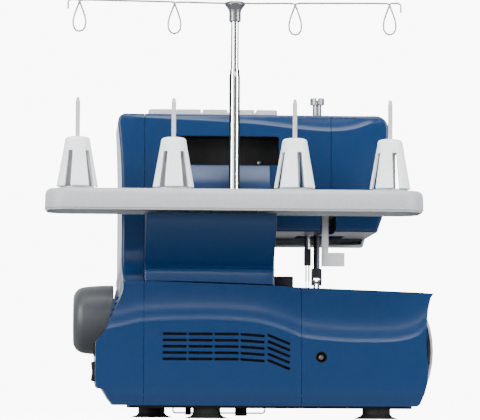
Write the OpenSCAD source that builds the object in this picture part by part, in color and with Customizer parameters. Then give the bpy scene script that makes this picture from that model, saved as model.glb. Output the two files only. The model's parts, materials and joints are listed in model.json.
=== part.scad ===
// Four-thread overlock machine (serger) with a rear spool stand.
// X runs to the operator's right (handwheel side), -Y faces the operator, Z is up from the table.
// The origin is on the table, under the middle of the whole machine.

/* [Casing] */
// Height of the casing's top above the table
case_top = 299.5; // [290:0.5:315]
// Wall thickness of the plastic covers
wall = 2.5; // [2:0.1:3.2]
// Right face of the column
column_right = 125; // [123:0.5:127]
// Left face of the column, where the throat begins
column_left = -28.5; // [-30:0.5:-26]
// Left end of the head
head_left = -141; // [-150:0.5:-136]
// Underside of the arm
arm_bottom = 184; // [181:0.5:186]
// Rear face of the arm and the column
rear_face = 53; // [51:0.5:58]
// Rear face of the base housing
base_rear = 78; // [76:0.5:82]
// Plane where the blue covers end and the grey front parts begin
front_split = -85; // [-88:0.5:-84]
// Visible gap between neighbouring covers
seam = 0.4; // [0.3:0.1:0.8]

/* [Bed] */
// Height of the cloth plate's top
bed_top = 124.5; // [123:0.5:126]
// Thickness of the cloth plate
plate_t = 3; // [2:0.5:4]
// Clearance under the raised covers, from the table to the base housing
base_bottom = 12.5; // [11:0.5:14]

/* [Drive] */
// Height of the main shaft
shaft_z = 97; // [95:0.5:99]
// Radius of the main shaft
shaft_r = 6; // [5:0.5:7]
// Radius of the handwheel's rim
wheel_r = 35; // [30:0.5:38]
// Axial width of the handwheel
wheel_w = 40.3; // [36:0.1:44]
// Pitch radius of the pulley on the main shaft
big_pulley_r = 29; // [26:0.5:31]
// Pitch radius of the motor's pulley
small_pulley_r = 6.5; // [6:0.5:9]
// Radius of the motor's can
motor_r = 23; // [20:0.5:24]
// Length of the motor's can
motor_l = 56; // [45:1:64]

/* [Sewing head] */
// Radius of the needle bar and the presser bar
bar_r = 3.2; // [3:0.1:3.6]
// Wall of the bushes that guide the bars
bush_t = 2.6; // [2:0.1:3]
// Radial running clearance of shafts and bars
run_gap = 0.05; // [0.03:0.01:0.09]
// Radius of a needle's shank
needle_r = 0.8; // [0.6:0.1:1]
// Length of a needle below the clamp
needle_l = 35; // [30:0.5:37]
// Radius of a tension dial
dial_r = 17; // [14:0.5:18]
// Width of a tension dial
dial_w = 8; // [6:0.5:10]
// Distance between neighbouring tension dials
dial_pitch = 26; // [22:0.5:29]

/* [Spool stand] */
// Width of the spool tray
tray_w = 364.7; // [340:0.1:370]
// Depth of the spool tray
tray_d = 76; // [70:0.5:80]
// Height of the tray's skirt
tray_h = 21; // [17:0.5:24]
// Distance of the inner spool pins from the pole
pin_inner = 58.7; // [50:0.1:70]
// Distance of the outer spool pins from the pole
pin_outer = 151.5; // [130:0.1:156]
// Height of a spool pin above the tray
pin_h = 89.8; // [75:0.1:100]
// Radius of a cone holder's foot
cone_r = 20; // [17:0.5:23]
// Height of a cone holder
cone_h = 48.5; // [42:0.5:54]
// Outer radius of the telescopic pole's lower tube
pole_r = 5.3; // [4.8:0.1:6]
// Length of the pole's lower tube
pole_l = 136; // [120:1:150]
// Visible length of the pole's upper tube as it stands
pole_out = 46.4; // [46:0.1:60]
// Radius of the thread guides' wire
wire_r = 0.9; // [0.7:0.1:1.2]

/* [Feet] */
// Radius of a suction foot's stem
foot_r = 13.5; // [11:0.5:15]
// Radius of a suction foot's lip
foot_lip_r = 22; // [19:0.5:24]

/* [Hidden] */
$fn = 48;
eps = 0.01;
touch = 0.3;              // gap between pieces that only rest near each other
seam_right = 100;         // seam between the centre cover and the right cover
seam_base = -54;          // seam between the centre cover and the left cover
seam_head = -84;          // seam between the centre cover and the head cover
base_end = -184.2;        // tip of the base housing's left end
swell_right = column_right + 23.2;  // right side of the swollen rear corner
tray_x = 14.35;           // middle of the tray and the pole
tray_y = 105;             // row of the spool pins
tray_top = 219.5;
tray_bottom = tray_top - tray_h;
shaft_y = -7;             // main shaft
wheel_in = column_right + 4;
motor_y = 40;
motor_z = 50;
frame_wall_x = 60;        // left face of the frame's right wall
frame_wall_t = 10;
bore_x = -69.3;           // needle bar
bore_y = -57;
presser_x = -77;          // presser bar and pressure knob
presser_y = -37;
pan_top = base_bottom + 3;
frame_z = pan_top + 1.5;  // underside of the frame casting
arm_z = 236;              // underside of the frame's arm
bush_z0 = arm_bottom + 2;  // lower bushes of both bars
bush_z1 = bush_z0 + 9;
lifter_y = 18;            // presser lifter's pivot
lifter_z = 205;
lifter_x = -81;
rock_z = 213;             // needle lever's rock shaft
pole_top = tray_bottom + 3 + touch + pole_l;
inner_r = pole_r - 1.5;
head_z = pole_top + pole_out;
panel_foot = bed_top + 3;  // underside of the front panel on the column
cover_y = -136;           // looper cover's hinge rod
cover_z = 22;
cover_front = -143;
cover_back = front_split - 11;
foot_places = [[88.5, -75], [-141, -75], [37.3, 48], [-130, 48]];
pin_offsets = [-pin_outer, -pin_inner, pin_inner, pin_outer];
dial_x0 = -114;

// ---------- helpers ----------
module box(a, b) { translate(a) cube(b - a); }
module xcyl(x0, x1, y, z, r) { translate([x0, y, z]) rotate([0, 90, 0]) cylinder(h = x1 - x0, r = r); }
module ycyl(y0, y1, x, z, r) { translate([x, y1, z]) rotate([90, 0, 0]) cylinder(h = y1 - y0, r = r); }
module zcyl(z0, z1, x, y, r) { translate([x, y, z0]) cylinder(h = z1 - z0, r = r); }
// Extrudes an X-Z outline from y0 to y1
module along_y(y0, y1) { translate([0, y1, 0]) rotate([90, 0, 0]) linear_extrude(y1 - y0) children(); }
// Extrudes a Y-Z outline from x0 to x1
module along_x(x0, x1) { translate([x0, 0, 0]) rotate([90, 0, 90]) linear_extrude(x1 - x0) children(); }
// Extrudes an X-Y outline from z0 to z1
module along_z(z0, z1) { translate([0, 0, z0]) linear_extrude(z1 - z0) children(); }
function arc(c, r, a0, a1, n = 6) =
    [for (i = [0:n]) c + r * [cos(a0 + (a1 - a0) * i / n), sin(a0 + (a1 - a0) * i / n)]];
function rounded(a, b, r) = concat(arc([b.x - r, b.y - r], r, 0, 90), arc([a.x + r, b.y - r], r, 90, 180),
    arc([a.x + r, a.y + r], r, 180, 270), arc([b.x - r, a.y + r], r, 270, 360));
// Sweeps a round wire along points, as one closed tube
function unit(v) = v / norm(v);
function heading(p, i) = unit(p[min(i + 1, len(p) - 1)] - p[max(i - 1, 0)]);
function side_of(t) = abs(t.y) < 0.9 ? unit(cross(t, [0, 1, 0])) : unit(cross(t, [0, 0, 1]));
module wire(p, r, n = 8) {
    m = len(p);
    ring_points = [for (i = [0:m - 1]) let (t = heading(p, i), a = side_of(t), b = cross(t, a))
        for (k = [0:n - 1]) p[i] + r * (a * cos(360 * k / n) + b * sin(360 * k / n))];
    sides = [for (i = [0:m - 2]) for (k = [0:n - 1])
        [(i + 1) * n + k, (i + 1) * n + (k + 1) % n, i * n + (k + 1) % n, i * n + k]];
    ends = [[for (k = [0:n - 1]) k], [for (k = [0:n - 1]) m * n - 1 - k]];
    polyhedron(ring_points, concat(sides, ends));
}

// ---------- casing outlines, each drawn t inside the outer face ----------
module arm_outline(t) {
    polygon(concat(
        [[head_left + 11 + t / 2, arm_bottom + t], [column_left + t, arm_bottom + t],
         [column_left + t, t > 0 ? 100 : bed_top + 9], [column_right - t, t > 0 ? 100 : bed_top + 9]],
        arc([column_right - 6, case_top - 8], 8 - t, 0, 90),
        arc([head_left + 13, case_top - 13], 13 - t, 90, 180),
        [[head_left + 1 + t, arm_bottom + 31], [head_left + 6 + t, arm_bottom + 14]]));
}
module arm_section(t) {
    polygon(concat([[front_split - (t > 0 ? 1 : 0), 60], [rear_face - t, 60]],
        arc([rear_face - 9, case_top - 9], 9 - t, 0, 90),
        [[front_split - (t > 0 ? 1 : 0), case_top - t]]));
}
module arm_body(t) {
    intersection() {
        along_y(front_split - (t > 0 ? 2 : 0), rear_face + 1) arm_outline(t);
        along_x(head_left - 5, column_right + 5) arm_section(t);
    }
}
module base_outline(t) {
    x0 = base_end + t;
    polygon([[x0 + 16.7, t > 0 ? 0 : base_bottom], [column_right - t, t > 0 ? 0 : base_bottom],
        [column_right - t, bed_top + 9.2 - t], [seam_right, bed_top + 9.2 - t],
        [column_left, bed_top + 5.2 - t], [seam_base, bed_top + 3.7 - t], [x0 + 13, bed_top - 0.4 - t],
        [x0 + 0.6 * t, bed_top - 1.8 - t], [x0 + 3.5, 116.6], [x0 + 5.9, 104.8], [x0 + 7.9, 87.3],
        [x0 + 8.3, 72.6], [x0 + 7.8, 58], [x0 + 6.3, 48.3], [x0 + 7.3, 33.7], [x0 + 10.2, 24],
        [x0 + 14.1, 15]]);
}
module base_section(t) {
    polygon([[front_split - 9.5 - (t > 0 ? 1 : 0), t > 0 ? 0 : base_bottom],
        [base_rear - 9 - t, t > 0 ? 0 : base_bottom],
        [base_rear - 4 - t, 15], [base_rear - 1 - t, 22], [base_rear - t, 40], [base_rear - t, 84],
        [base_rear - 3 - t, 92], [base_rear - 6 - t, 108], [base_rear - 7.5 - t, bed_top + 10],
        [front_split + t, bed_top + 10], [front_split + t, panel_foot - touch - t],
        [front_split - 9.5 - (t > 0 ? 1 : 0), panel_foot - touch - t]]);
}
module base_body(t) {
    intersection() {
        along_y(front_split - 11, base_rear + 1) base_outline(t);
        along_x(-190, column_right + 1) base_section(t);
    }
}
// Pocket of the carrying grip, in the rear face below the top
grip_x0 = -35.6;
grip_x1 = 71;
grip_h = 28.5;
grip_z1 = case_top - 22;
grip_z0 = grip_z1 - grip_h;
grip_depth = 30;
module grip_pocket(t) {
    box([grip_x0 - t, rear_face - grip_depth - t, grip_z0 - t],
        [grip_x1 + t, rear_face + (t > 0 ? -wall : 2), grip_z1 + t]);
}
// The saddle under the spool tray, from the carrying grip down to the base
module saddle(t) {
    front = rear_face - 6;
    ramp_foot = tray_y - tray_d / 2 - 1 - t;
    ledge = tray_y + 7 - t;
    under_tray = tray_bottom - touch;
    along_x(column_left + 1.5 + t, seam_right - t)
        polygon([[front, grip_z0 - 2 - t], [ramp_foot, tray_top + 9.5 - t], [ramp_foot, under_tray - t],
            [ledge, under_tray - t], [ledge, tray_bottom - 7], [tray_y - 11 - t, tray_bottom - 22],
            [tray_y - 26 - t, tray_bottom - 36], [tray_y - 37 - t, bed_top + 22], [front, bed_top + 20]]);
}
// Everything in front of the cloth plate's rear edge and left of the column is open at the top
module bed_opening() {
    box([base_end + wall, front_split - 12, bed_top - plate_t - touch],
        [column_left - eps, 14 + touch, bed_top + 12]);
}
vent_rows = 5;
vent_columns = 5;
vent_pitch_x = 25.2;
vent_pitch_z = 6.1;
vent_x0 = 79.5;
vent_z0 = 82;
module rear_vents() {
    for (c = [0:vent_columns - 1], r = [0:vent_rows - 1])
        translate([vent_x0 - c * vent_pitch_x - 23, 0, vent_z0 - r * vent_pitch_z - (c == 4 ? 2 : 0)])
            rotate([0, c == 4 ? -20 : 0, 0])
                box([0, base_rear - 12, -1.5], [c == 4 ? 21.5 : 23, base_rear + 5, 1.5]);
}
screw_places = [[-76, 60]];   // recessed screw in the left cover, X and Z

// ---------- covers ----------
far_left = -206;
far_right = swell_right + 1;
// The part of a casing that lies between two seams across X
module between_seams(x0, x1) {
    intersection() {
        children();
        box([x0 + seam / 2, front_split - 12, 0], [x1 - seam / 2, base_rear + 12, case_top + 1]);
    }
}
module rear_cover() {
    color([0.10, 0.23, 0.42]) difference() {
        union() {
            difference() {
                union() {
                    between_seams(seam_head, seam_right) arm_body(0);
                    between_seams(seam_base, seam_right) base_body(0);
                    saddle(0);
                }
                arm_body(wall);
                base_body(wall);
                saddle(wall);
                bed_opening();
            }
            grip_pocket(wall);
        }
        grip_pocket(0);
        rear_vents();
        zcyl(case_top - 10, case_top + 5, presser_x, presser_y, 5.2);
        // Ways out for the bars below the head and for the presser lifter's lever
        box([seam_head - 1, -70, 180], [-56, -20, arm_bottom + wall + 1]);
        box([seam_head - 1, 5, 180], [lifter_x + 7, rear_face + 2, arm_bottom + 20]);
    }
}
flare_y0 = 36;       // front of the flared rear corner on the handwheel side
module flare(t) {
    x1 = swell_right - t;
    intersection() {
        along_y(flare_y0 + t, base_rear - 6 - t)
            polygon([[seam_right + seam / 2 + t, t > 0 ? 0 : base_bottom],
                [x1 - 17.7, t > 0 ? 0 : base_bottom], [x1 - 13, 19], [x1 - 10, 24], [x1 - 5.4, 29],
                [x1 - 1.5, 33], [x1, 36], [x1, 72], [x1 - 2.3, 76], [x1 - 6.1, 80.4],
                [x1 - 10, 85.5], [x1 - 13, 95], [x1 - 16, 105], [x1 - 18.6, 114.5],
                [column_right + 2 - t, 126], [column_right - t, bed_top + 9 - t],
                [seam_right + seam / 2 + t, bed_top + 9 - t]]);
        box([seam_right + seam / 2, 0, 0], [far_right, 90, 140]);
    }
}
module right_cover() {
    color([0.10, 0.23, 0.42]) difference() {
        union() {
            between_seams(seam_right, far_right) arm_body(0);
            between_seams(seam_right, far_right) base_body(0);
            flare(0);
        }
        arm_body(wall);
        base_body(wall);
        flare(wall);
        xcyl(column_right - 9, column_right + 11, shaft_y, shaft_z, 13);
        for (i = [0:4]) translate([swell_right - 9.2 - i * 1.65, 0, 92 + i * 5.5])
            box([-12, 48, -1.2], [12, 64, 1.2]);
        box([swell_right - 4.7, 46, 34], [swell_right + 5.3, 60, 56.5]);
        box([swell_right - 4.7, 42, 59.5], [swell_right + 5.3, 64, 73.5]);
        xcyl(column_right - 7, column_right + 11, -66, 46, 4 + run_gap);
        xcyl(column_right - 7, column_right + 11, -66, 88, 4 + run_gap);
    }
}
module head_cover() {
    color([0.10, 0.23, 0.42]) difference() {
        between_seams(far_left, seam_head) arm_body(0);
        arm_body(wall);
        box([-104, -70, 180], [seam_head + 1, -20, arm_bottom + wall + 1]);
        box([lifter_x - 8, 5, 180], [seam_head + 1, rear_face + 2, arm_bottom + 20]);
    }
}
module left_cover() {
    color([0.10, 0.23, 0.42]) difference() {
        between_seams(far_left, seam_base) base_body(0);
        base_body(wall);
        bed_opening();
        for (p = screw_places) ycyl(60, 85, p.x, p.y, 5.5);
    }
}
panel_front = -107;
panel_bottom = 176.5;
module front_outline(t) {
    polygon(concat([[head_left + 12 + t, panel_bottom + t], [column_left + t, panel_bottom + t],
        [column_left + t, panel_foot + t],
        [column_right - 1 - t, panel_foot + t]],
        arc([column_right - 9, case_top - 10], 8 - t, 0, 90),
        arc([head_left + 14, case_top - 14], 12 - t, 90, 180),
        [[head_left + 3 + t, arm_bottom + 30]]));
}
module front_panel() {
    color([0.80, 0.82, 0.83]) difference() {
        along_y(panel_front, front_split - seam) front_outline(0);
        along_y(panel_front + wall, front_split + 1) front_outline(wall);
        for (i = [0:3]) translate([dial_x0 + i * dial_pitch, panel_front, dial_z])
            box([-dial_w / 2 - 1, -1, -dial_r - 2], [dial_w / 2 + 1, 4, dial_r + 2]);
    }
}
module top_thread_guide() {
    color([0.72, 0.74, 0.76]) {
        difference() {
            along_z(case_top + touch, case_top + 11.5)
                polygon(rounded([-35.5, -60], [94.6, -18], 6));
            for (i = [0:3])
                box([-14 + i * 27, -64, case_top + 8], [-12 + i * 27, -14, case_top + 14]);
        }
    }
}
module cloth_plate() {
    color([0.80, 0.82, 0.83]) along_z(bed_top - plate_t, bed_top)
        polygon([[base_end + 5.5, front_split - 9], [-113, front_split - 9], [-113, -12.6],
            [seam_base, -12.6], [seam_base, 14], [base_end + 5.5, 14]]);
}
module needle_plate() {
    color("silver") difference() {
        box([-112.5, front_split - 8, bed_top - 1], [-60, -13, bed_top + 1.5]);
        box([-93, -91, 0], [-73, -61, 200]);
        box([-93, -53, 0], [-73, -15, 200]);
        box([-73.5, -59.5, 0], [-65, -54.5, 200]);
    }
}
// The looper cover: a curved shell, open to the rear, that slides right and swings down
module looper_cover_outline(t) {
    polygon(concat([[-183 + t, 14 + t], [column_right - 2 - t, 14 + t]],
        [[column_right - 1 - t, 30], [column_right - 1 - t, bed_top - 1 - t], [-170, bed_top - 3 - t]],
        arc([-103, 69.5], 100 - t, 152, 208, 8)));
}
module looper_cover_section(t, back, foot) {
    polygon(concat([[back, foot + t], [cover_front + 10, foot + t]],
        arc([cover_front + 10, 24], 10 - t, 270, 180, 4),
        arc([cover_front + 22, bed_top - 24], 22 - t, 180, 90, 5), [[back, bed_top - t]]));
}
module looper_cover_body(t, back, foot) {
    intersection() {
        along_y(cover_front - 1, back) looper_cover_outline(t);
        along_x(far_left, column_right + 2) looper_cover_section(t, back, foot);
    }
}
module looper_cover() {
    color([0.80, 0.82, 0.83]) {
        difference() {
            looper_cover_body(0, cover_back, 13);
            looper_cover_body(wall, cover_back + 1, 14);
            for (x = lug_x)
                box([x - 7, cover_front + 3, 10], [x + lug_w + 1, cover_back + 1, 30]);
        }
        for (x = knuckle_x) difference() {
            box([x, cover_y - 5.5, 15], [x + 10, cover_y + 5, cover_z + 5]);
            xcyl(x - 1, x + 11, cover_y, cover_z, rod_r + run_gap);
        }
    }
}
lug_w = 8;
lug_r = 3.6;
lug_x = [-150, 82];
knuckle_x = [-135, 65];
rod_r = 2;
module looper_cover_rod() {
    color("silver") xcyl(lug_x[0] - 9, lug_x[1] + lug_w + 2, cover_y, cover_z, rod_r);
}

// ---------- base ----------
module base_pan() {
    color([0.06, 0.06, 0.07]) difference() {
        union() {
            along_z(base_bottom - 2.5, pan_top) polygon(rounded(
                [base_end + 17.2 + wall, front_split - 7], [column_right - 11, base_rear - 13], 12));
            for (x = lug_x) {
                xcyl(x, x + lug_w, cover_y, cover_z, lug_r);
                box([x, cover_y, cover_z - lug_r], [x + lug_w, front_split - 4, cover_z + lug_r]);
                box([x, front_split - 7, pan_top - 1], [x + lug_w, front_split - 4, cover_z + lug_r]);
            }
            zcyl(2.2, base_bottom, 1.5, 8, 6);
            zcyl(3, base_bottom, 54, 8, 3);
        }
        for (x = lug_x) xcyl(x - 1, x + lug_w + 1, cover_y, cover_z, rod_r + run_gap);
    }
}
module suction_feet() {
    color([0.05, 0.05, 0.05]) for (p = foot_places) translate([p.x, p.y, 0]) rotate_extrude()
        polygon([[0, 0.8], [12, 0.8], [16, 0], [foot_lip_r - 1, 0], [foot_lip_r, 0.2],
            [foot_lip_r - 6, 2.2],
            [foot_r + 1, 3.5], [foot_r, 5], [foot_r, base_bottom - 2.5], [0, base_bottom - 2.5]]);
}
wire_ends = [69.5, -21.5];
module underside_wire() {
    z0 = 5.2;
    color("dimgray") wire([[wire_ends[0], 20, base_bottom - 2.6], [wire_ends[0], 20, z0 + 2],
        [wire_ends[0] - 0.7, 20, z0 + 0.6],
        [wire_ends[0] - 2, 20, z0], [20, 20, z0], [wire_ends[1] + 2, 20, z0],
        [wire_ends[1] + 0.7, 20, z0 + 0.6], [wire_ends[1], 20, z0 + 2],
            [wire_ends[1], 20, base_bottom - 2.6]], 0.8);
}
frame_right = frame_wall_x + frame_wall_t;
bearing_r = shaft_r + 4;
module frame_casting() {
    color([0.62, 0.63, 0.65]) difference() {
        union() {
            box([-160, -80, pan_top], [105, 52, pan_top + 6]);
            box([frame_wall_x, -60, pan_top], [frame_right, motor_y + motor_r - 5, bed_top - 6]);
            box([-128, -40, pan_top], [-120, 30, bed_top - 8]);
            box([44, -24, pan_top], [frame_right, 12, arm_z + 26]);
            box([-110, -20, arm_z], [50, 12, arm_z + 26]);
            box([-112, -68, arm_z], [-56, -19, arm_z + 26]);
            box([-112, -68, bush_z0 + 1], [-56, -28, bush_z1]);
            box([-112, -68, bush_z0 + 1], [-104, -28, arm_z + 26]);
            box([-52, -14, rock_z - 7], [-46, 0, arm_z + 1]);
            box([32, -14, rock_z - 7], [45, 0, rock_z + 7]);
        }
        for (x = [frame_wall_x - 20, -130]) xcyl(x, x + 40, shaft_y, shaft_z, bearing_r);
        xcyl(frame_wall_x - 1, frame_right + 1, motor_y, motor_z, 8);
        zcyl(180, arm_z + 30, bore_x, bore_y, bar_r + bush_t);
        zcyl(180, bush_z1 + 4, presser_x, presser_y, bar_r + bush_t);
        zcyl(arm_z - 2, arm_z + 30, presser_x, presser_y, 7);
        xcyl(-53, -45, shaft_y, rock_z, rock_r + run_gap);
        xcyl(31, 43, shaft_y, rock_z, rock_r + run_gap);
    }
}

// ---------- drive ----------
module handwheel() {
    w = wheel_w;
    r = wheel_r;
    color([0.55, 0.56, 0.58]) translate([wheel_in, shaft_y, shaft_z]) rotate([0, 90, 0]) difference() {
        rotate_extrude() polygon(concat([[0, 8], [12, 8], [12, 14], [r - 10, 14], [r - 3.5, 0], [r, 0],
            [r - 0.5, 12], [r - 1.5, w - 12]],
            arc([r - 11, w - 10], 9.5, 5, 90, 5), [[10, w], [0, w - 1]]));
        translate([0, 0, -1]) cylinder(h = 15, r = shaft_r);
    }
}
module main_shaft() {
    color("silver") {
        xcyl(-132, wheel_in + 14, shaft_y, shaft_z, shaft_r);
        for (x = [-50, -12, 24]) xcyl(x - 4, x + 4, shaft_y + 2, shaft_z, shaft_r + 6);
    }
}
module shaft_bearings() {
    color([0.70, 0.58, 0.30]) for (x = [frame_wall_x, -128]) difference() {
        xcyl(x, x + (x > 0 ? frame_wall_t : 8), shaft_y, shaft_z, bearing_r);
        xcyl(x - 1, x + 12, shaft_y, shaft_z, shaft_r + run_gap);
    }
}
pulley_x = 82;
pulley_w = 11;
module pulley(x, y, z, pitch_r, bore_r) {
    difference() {
        union() {
            xcyl(x, x + pulley_w, y, z, pitch_r - 1);
            xcyl(x - 1.2, x, y, z, pitch_r + 2);
            xcyl(x + pulley_w, x + pulley_w + 1.2, y, z, pitch_r + 2);
        }
        xcyl(x - 2, x + pulley_w + 2, y, z, bore_r);
    }
}
module drive_pulley() { color([0.15, 0.15, 0.16]) pulley(pulley_x, shaft_y, shaft_z, big_pulley_r,
    shaft_r); }
motor_shaft_r = 2.5;
module motor() {
    color([0.45, 0.46, 0.48]) {
        xcyl(frame_wall_x - motor_l, frame_wall_x, motor_y, motor_z, motor_r);
        xcyl(frame_wall_x - motor_l - 6, frame_wall_x - motor_l + eps, motor_y, motor_z, 9);
        box([frame_wall_x - motor_l + 8, motor_y - 12, pan_top + 6],
            [frame_wall_x - 8, motor_y + 12, motor_z - motor_r + 3]);
    }
}
module motor_pulley() {
    color([0.15, 0.15, 0.16]) {
        pulley(pulley_x, motor_y, motor_z, small_pulley_r, motor_shaft_r);
        xcyl(frame_wall_x + touch, pulley_x + pulley_w + 3, motor_y, motor_z, motor_shaft_r);
    }
}
// An open belt: the outline of both pulleys' pitch circles and their common tangents
centre_gap = norm([motor_y - shaft_y, motor_z - shaft_z]);
belt_aim = atan2(motor_z - shaft_z, motor_y - shaft_y);
wrap = asin((big_pulley_r - small_pulley_r) / centre_gap);
function belt_outline(t) = concat(
    arc([shaft_y, shaft_z], big_pulley_r + t, belt_aim + 90 - wrap, belt_aim + 270 + wrap, 24),
    arc([motor_y, motor_z], small_pulley_r + t, belt_aim - 90 + wrap, belt_aim + 90 - wrap, 10));
module drive_belt() {
    color([0.05, 0.05, 0.05]) difference() {
        along_x(pulley_x + touch, pulley_x + pulley_w - touch) polygon(belt_outline(1.2));
        along_x(pulley_x - 1, pulley_x + pulley_w + 1) polygon(belt_outline(-0.4));
    }
}
rod_x = 24;
rock_r = 4;
rod_pin = [9, rock_z];
rod_bottom = shaft_z + shaft_r + 12;
module drive_rod() {
    color("silver") difference() {
        union() {
            zcyl(rod_bottom, rod_pin.y - 4, rod_x, rod_pin.x, 3);
            box([rod_x - 4, rod_pin.x - 5, rod_bottom], [rod_x + 4, rod_pin.x + 5, rod_bottom + 4]);
            xcyl(rod_x - 3, rod_x + 3, rod_pin.x, rod_pin.y, 5);
        }
        xcyl(rod_x - 4, rod_x + 4, rod_pin.x, rod_pin.y, 2.6);
    }
}
lever_reach = 50;      // from the rock shaft to the needle bar
module needle_lever() {
    color([0.62, 0.63, 0.65]) {
        xcyl(-64, 42, shaft_y, rock_z, rock_r);
        xcyl(-65, -56, shaft_y, rock_z, 7);
        box([-65, shaft_y - lever_reach + 7, rock_z - 3], [-61, shaft_y - 5, rock_z + 3]);
        box([-65, shaft_y - lever_reach - 4, rock_z + 3.6], [-61, shaft_y - lever_reach + 8, rock_z + 6]);
        box([-65, shaft_y - lever_reach - 4, rock_z - 6], [-61, shaft_y - lever_reach + 8, rock_z - 3.6]);
        box([-65, shaft_y - lever_reach + 6, rock_z - 6], [-61, shaft_y - lever_reach + 8, rock_z + 6]);
        for (x = [rod_x - 6.5, rod_x + 3.5]) box([x, shaft_y, rock_z - 3], [x + 3, 12, rock_z + 3]);
        xcyl(rod_x - 6.5, rod_x + 6.5, shaft_y, rock_z, 7);
        xcyl(rod_x - 6, rod_x + 6, rod_pin.x, rod_pin.y, 2);
    }
}

// ---------- needle and presser bars ----------
clamp_top = 172.6;
clamp_bottom = 155.6;
module needle_bar() {
    color("silver") {
        zcyl(clamp_top, 258, bore_x, bore_y, bar_r);
        difference() {
            box([bore_x - 5, bore_y - 5, rock_z - 5], [bore_x + 3.6, bore_y + 5, rock_z + 5]);
            zcyl(200, 230, bore_x, bore_y, bar_r - eps);
        }
        xcyl(bore_x + 3.6, -61.5, bore_y, rock_z, 1.8);
    }
}
module needle_clamp() {
    color([0.20, 0.21, 0.23]) {
        box([bore_x - 3.4, bore_y - 4.5, clamp_bottom], [bore_x + 3.4, bore_y + 4, clamp_top]);
        for (x = [-1.6, 1.6]) ycyl(bore_y - 9, bore_y - 4.5 + eps, bore_x + x,
            clamp_bottom + (x > 0 ? 4 : 9), 1.3);
    }
}
module needles() {
    color("silver") for (x = [-1.45, 1.45]) translate([bore_x + x, bore_y, clamp_bottom - needle_l]) {
        cylinder(h = 5, r1 = 0.1, r2 = needle_r * 0.6);
        translate([0, 0, 5 - eps]) cylinder(h = 14, r = needle_r * 0.6);
        translate([0, 0, 19 - 2 * eps]) cylinder(h = needle_l - 19 + 2 * eps, r = needle_r);
    }
}
module bar_bushes() {
    color([0.70, 0.58, 0.30]) {
        for (z = [[bush_z0, bush_z1], [arm_z, arm_z + 28]]) difference() {
            zcyl(z[0], z[1], bore_x, bore_y, bar_r + bush_t);
            zcyl(z[0] - 1, z[1] + 1, bore_x, bore_y, bar_r + run_gap);
        }
        difference() {
            zcyl(bush_z0, bush_z1, presser_x, presser_y, bar_r + bush_t);
            zcyl(bush_z0 - 1, bush_z1 + 1, presser_x, presser_y, bar_r + run_gap);
        }
    }
}
ankle_top = 151.5;
foot_pin_y = presser_y - 2;
foot_pin_z = 137.5;
module presser_bar() {
    color([0.20, 0.21, 0.23]) {
        zcyl(ankle_top - eps, 262, presser_x, presser_y, bar_r);
        difference() {
            box([presser_x - 5, presser_y - 6, foot_pin_z - 3], [presser_x + 5, presser_y + 5, ankle_top]);
            box([presser_x - 3.2, presser_y - 7, foot_pin_z - 4],
                [presser_x + 3.2, presser_y + 6, foot_pin_z + 4.5]);
            xcyl(presser_x - 6, presser_x + 6, foot_pin_y, foot_pin_z, 1.2);
        }
        xcyl(presser_x - 5, presser_x + 5, foot_pin_y, foot_pin_z, 1.2);
    }
}
bracket_z = rock_z + 1;
module presser_bracket() {
    color([0.62, 0.63, 0.65]) difference() {
        union() {
            zcyl(204, 218, presser_x, presser_y, 7.5);
            box([lifter_x - 2.2, presser_y, bracket_z], [lifter_x + 2.2, lifter_y + 2, bracket_z + 4]);
        }
        zcyl(200, 220, presser_x, presser_y, bar_r);
    }
}
spring_turns = 9;
spring_z0 = 218.6;
spring_z1 = 280;
module presser_spring() {
    color("gray") wire([for (i = [0:spring_turns * 10]) [presser_x + 5.2 * cos(36 * i),
        presser_y + 5.2 * sin(36 * i),
        spring_z0 + 0.9 + (spring_z1 - spring_z0 - 1.8) * i / (spring_turns * 10)]], 0.7, 6);
}
module presser_foot() {
    toe = -78;
    heel = -27;
    z0 = bed_top + 2.4;
    color("silver") difference() {
        union() {
            difference() {
                box([presser_x - 13, toe, z0], [presser_x + 13, heel, z0 + 2.2]);
                box([bore_x - 4, bore_y - 5, z0 - 1], [bore_x + 4, bore_y + 5, z0 + 4]);
                translate([0, foot_pin_y, z0]) rotate([14, 0, 0])
                    box([presser_x - 14, 0, -8], [presser_x + 14, 30, -0.02]);
            }
            translate([0, toe + 0.8, z0]) rotate([-35, 0, 0])
                box([presser_x - 13, -7.8, 0], [presser_x + 13, 0, 2]);
            for (x = [-2.8, 1.2]) box([presser_x + x, foot_pin_y - 5, z0 + 2],
                [presser_x + x + 1.6, foot_pin_y + 4, foot_pin_z + 2.6]);
        }
        xcyl(presser_x - 4, presser_x + 4, foot_pin_y, foot_pin_z, 1.2 + run_gap);
    }
}
knob_r = 7.3;
module pressure_knob() {
    color("silver") difference() {
        union() {
            zcyl(spring_z1, case_top + 18.7, presser_x, presser_y, 4.6);
            zcyl(case_top + 18.7 - eps, case_top + 25.5, presser_x, presser_y, knob_r);
        }
        for (a = [0:30:150]) translate([presser_x, presser_y, 0]) rotate([0, 0, a + 15])
            for (s = [-1, 1]) translate([s * knob_r, 0, case_top + 18]) cylinder(h = 9, r = 1.1, $fn = 16);
        box([presser_x - 1, presser_y - 9, case_top + 23], [presser_x + 1, presser_y + 9, case_top + 27]);
        zcyl(spring_z1 - 1, spring_z1 + 3, presser_x, presser_y, 2);
    }
}
pad_x = lifter_x - 19.5;
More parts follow.
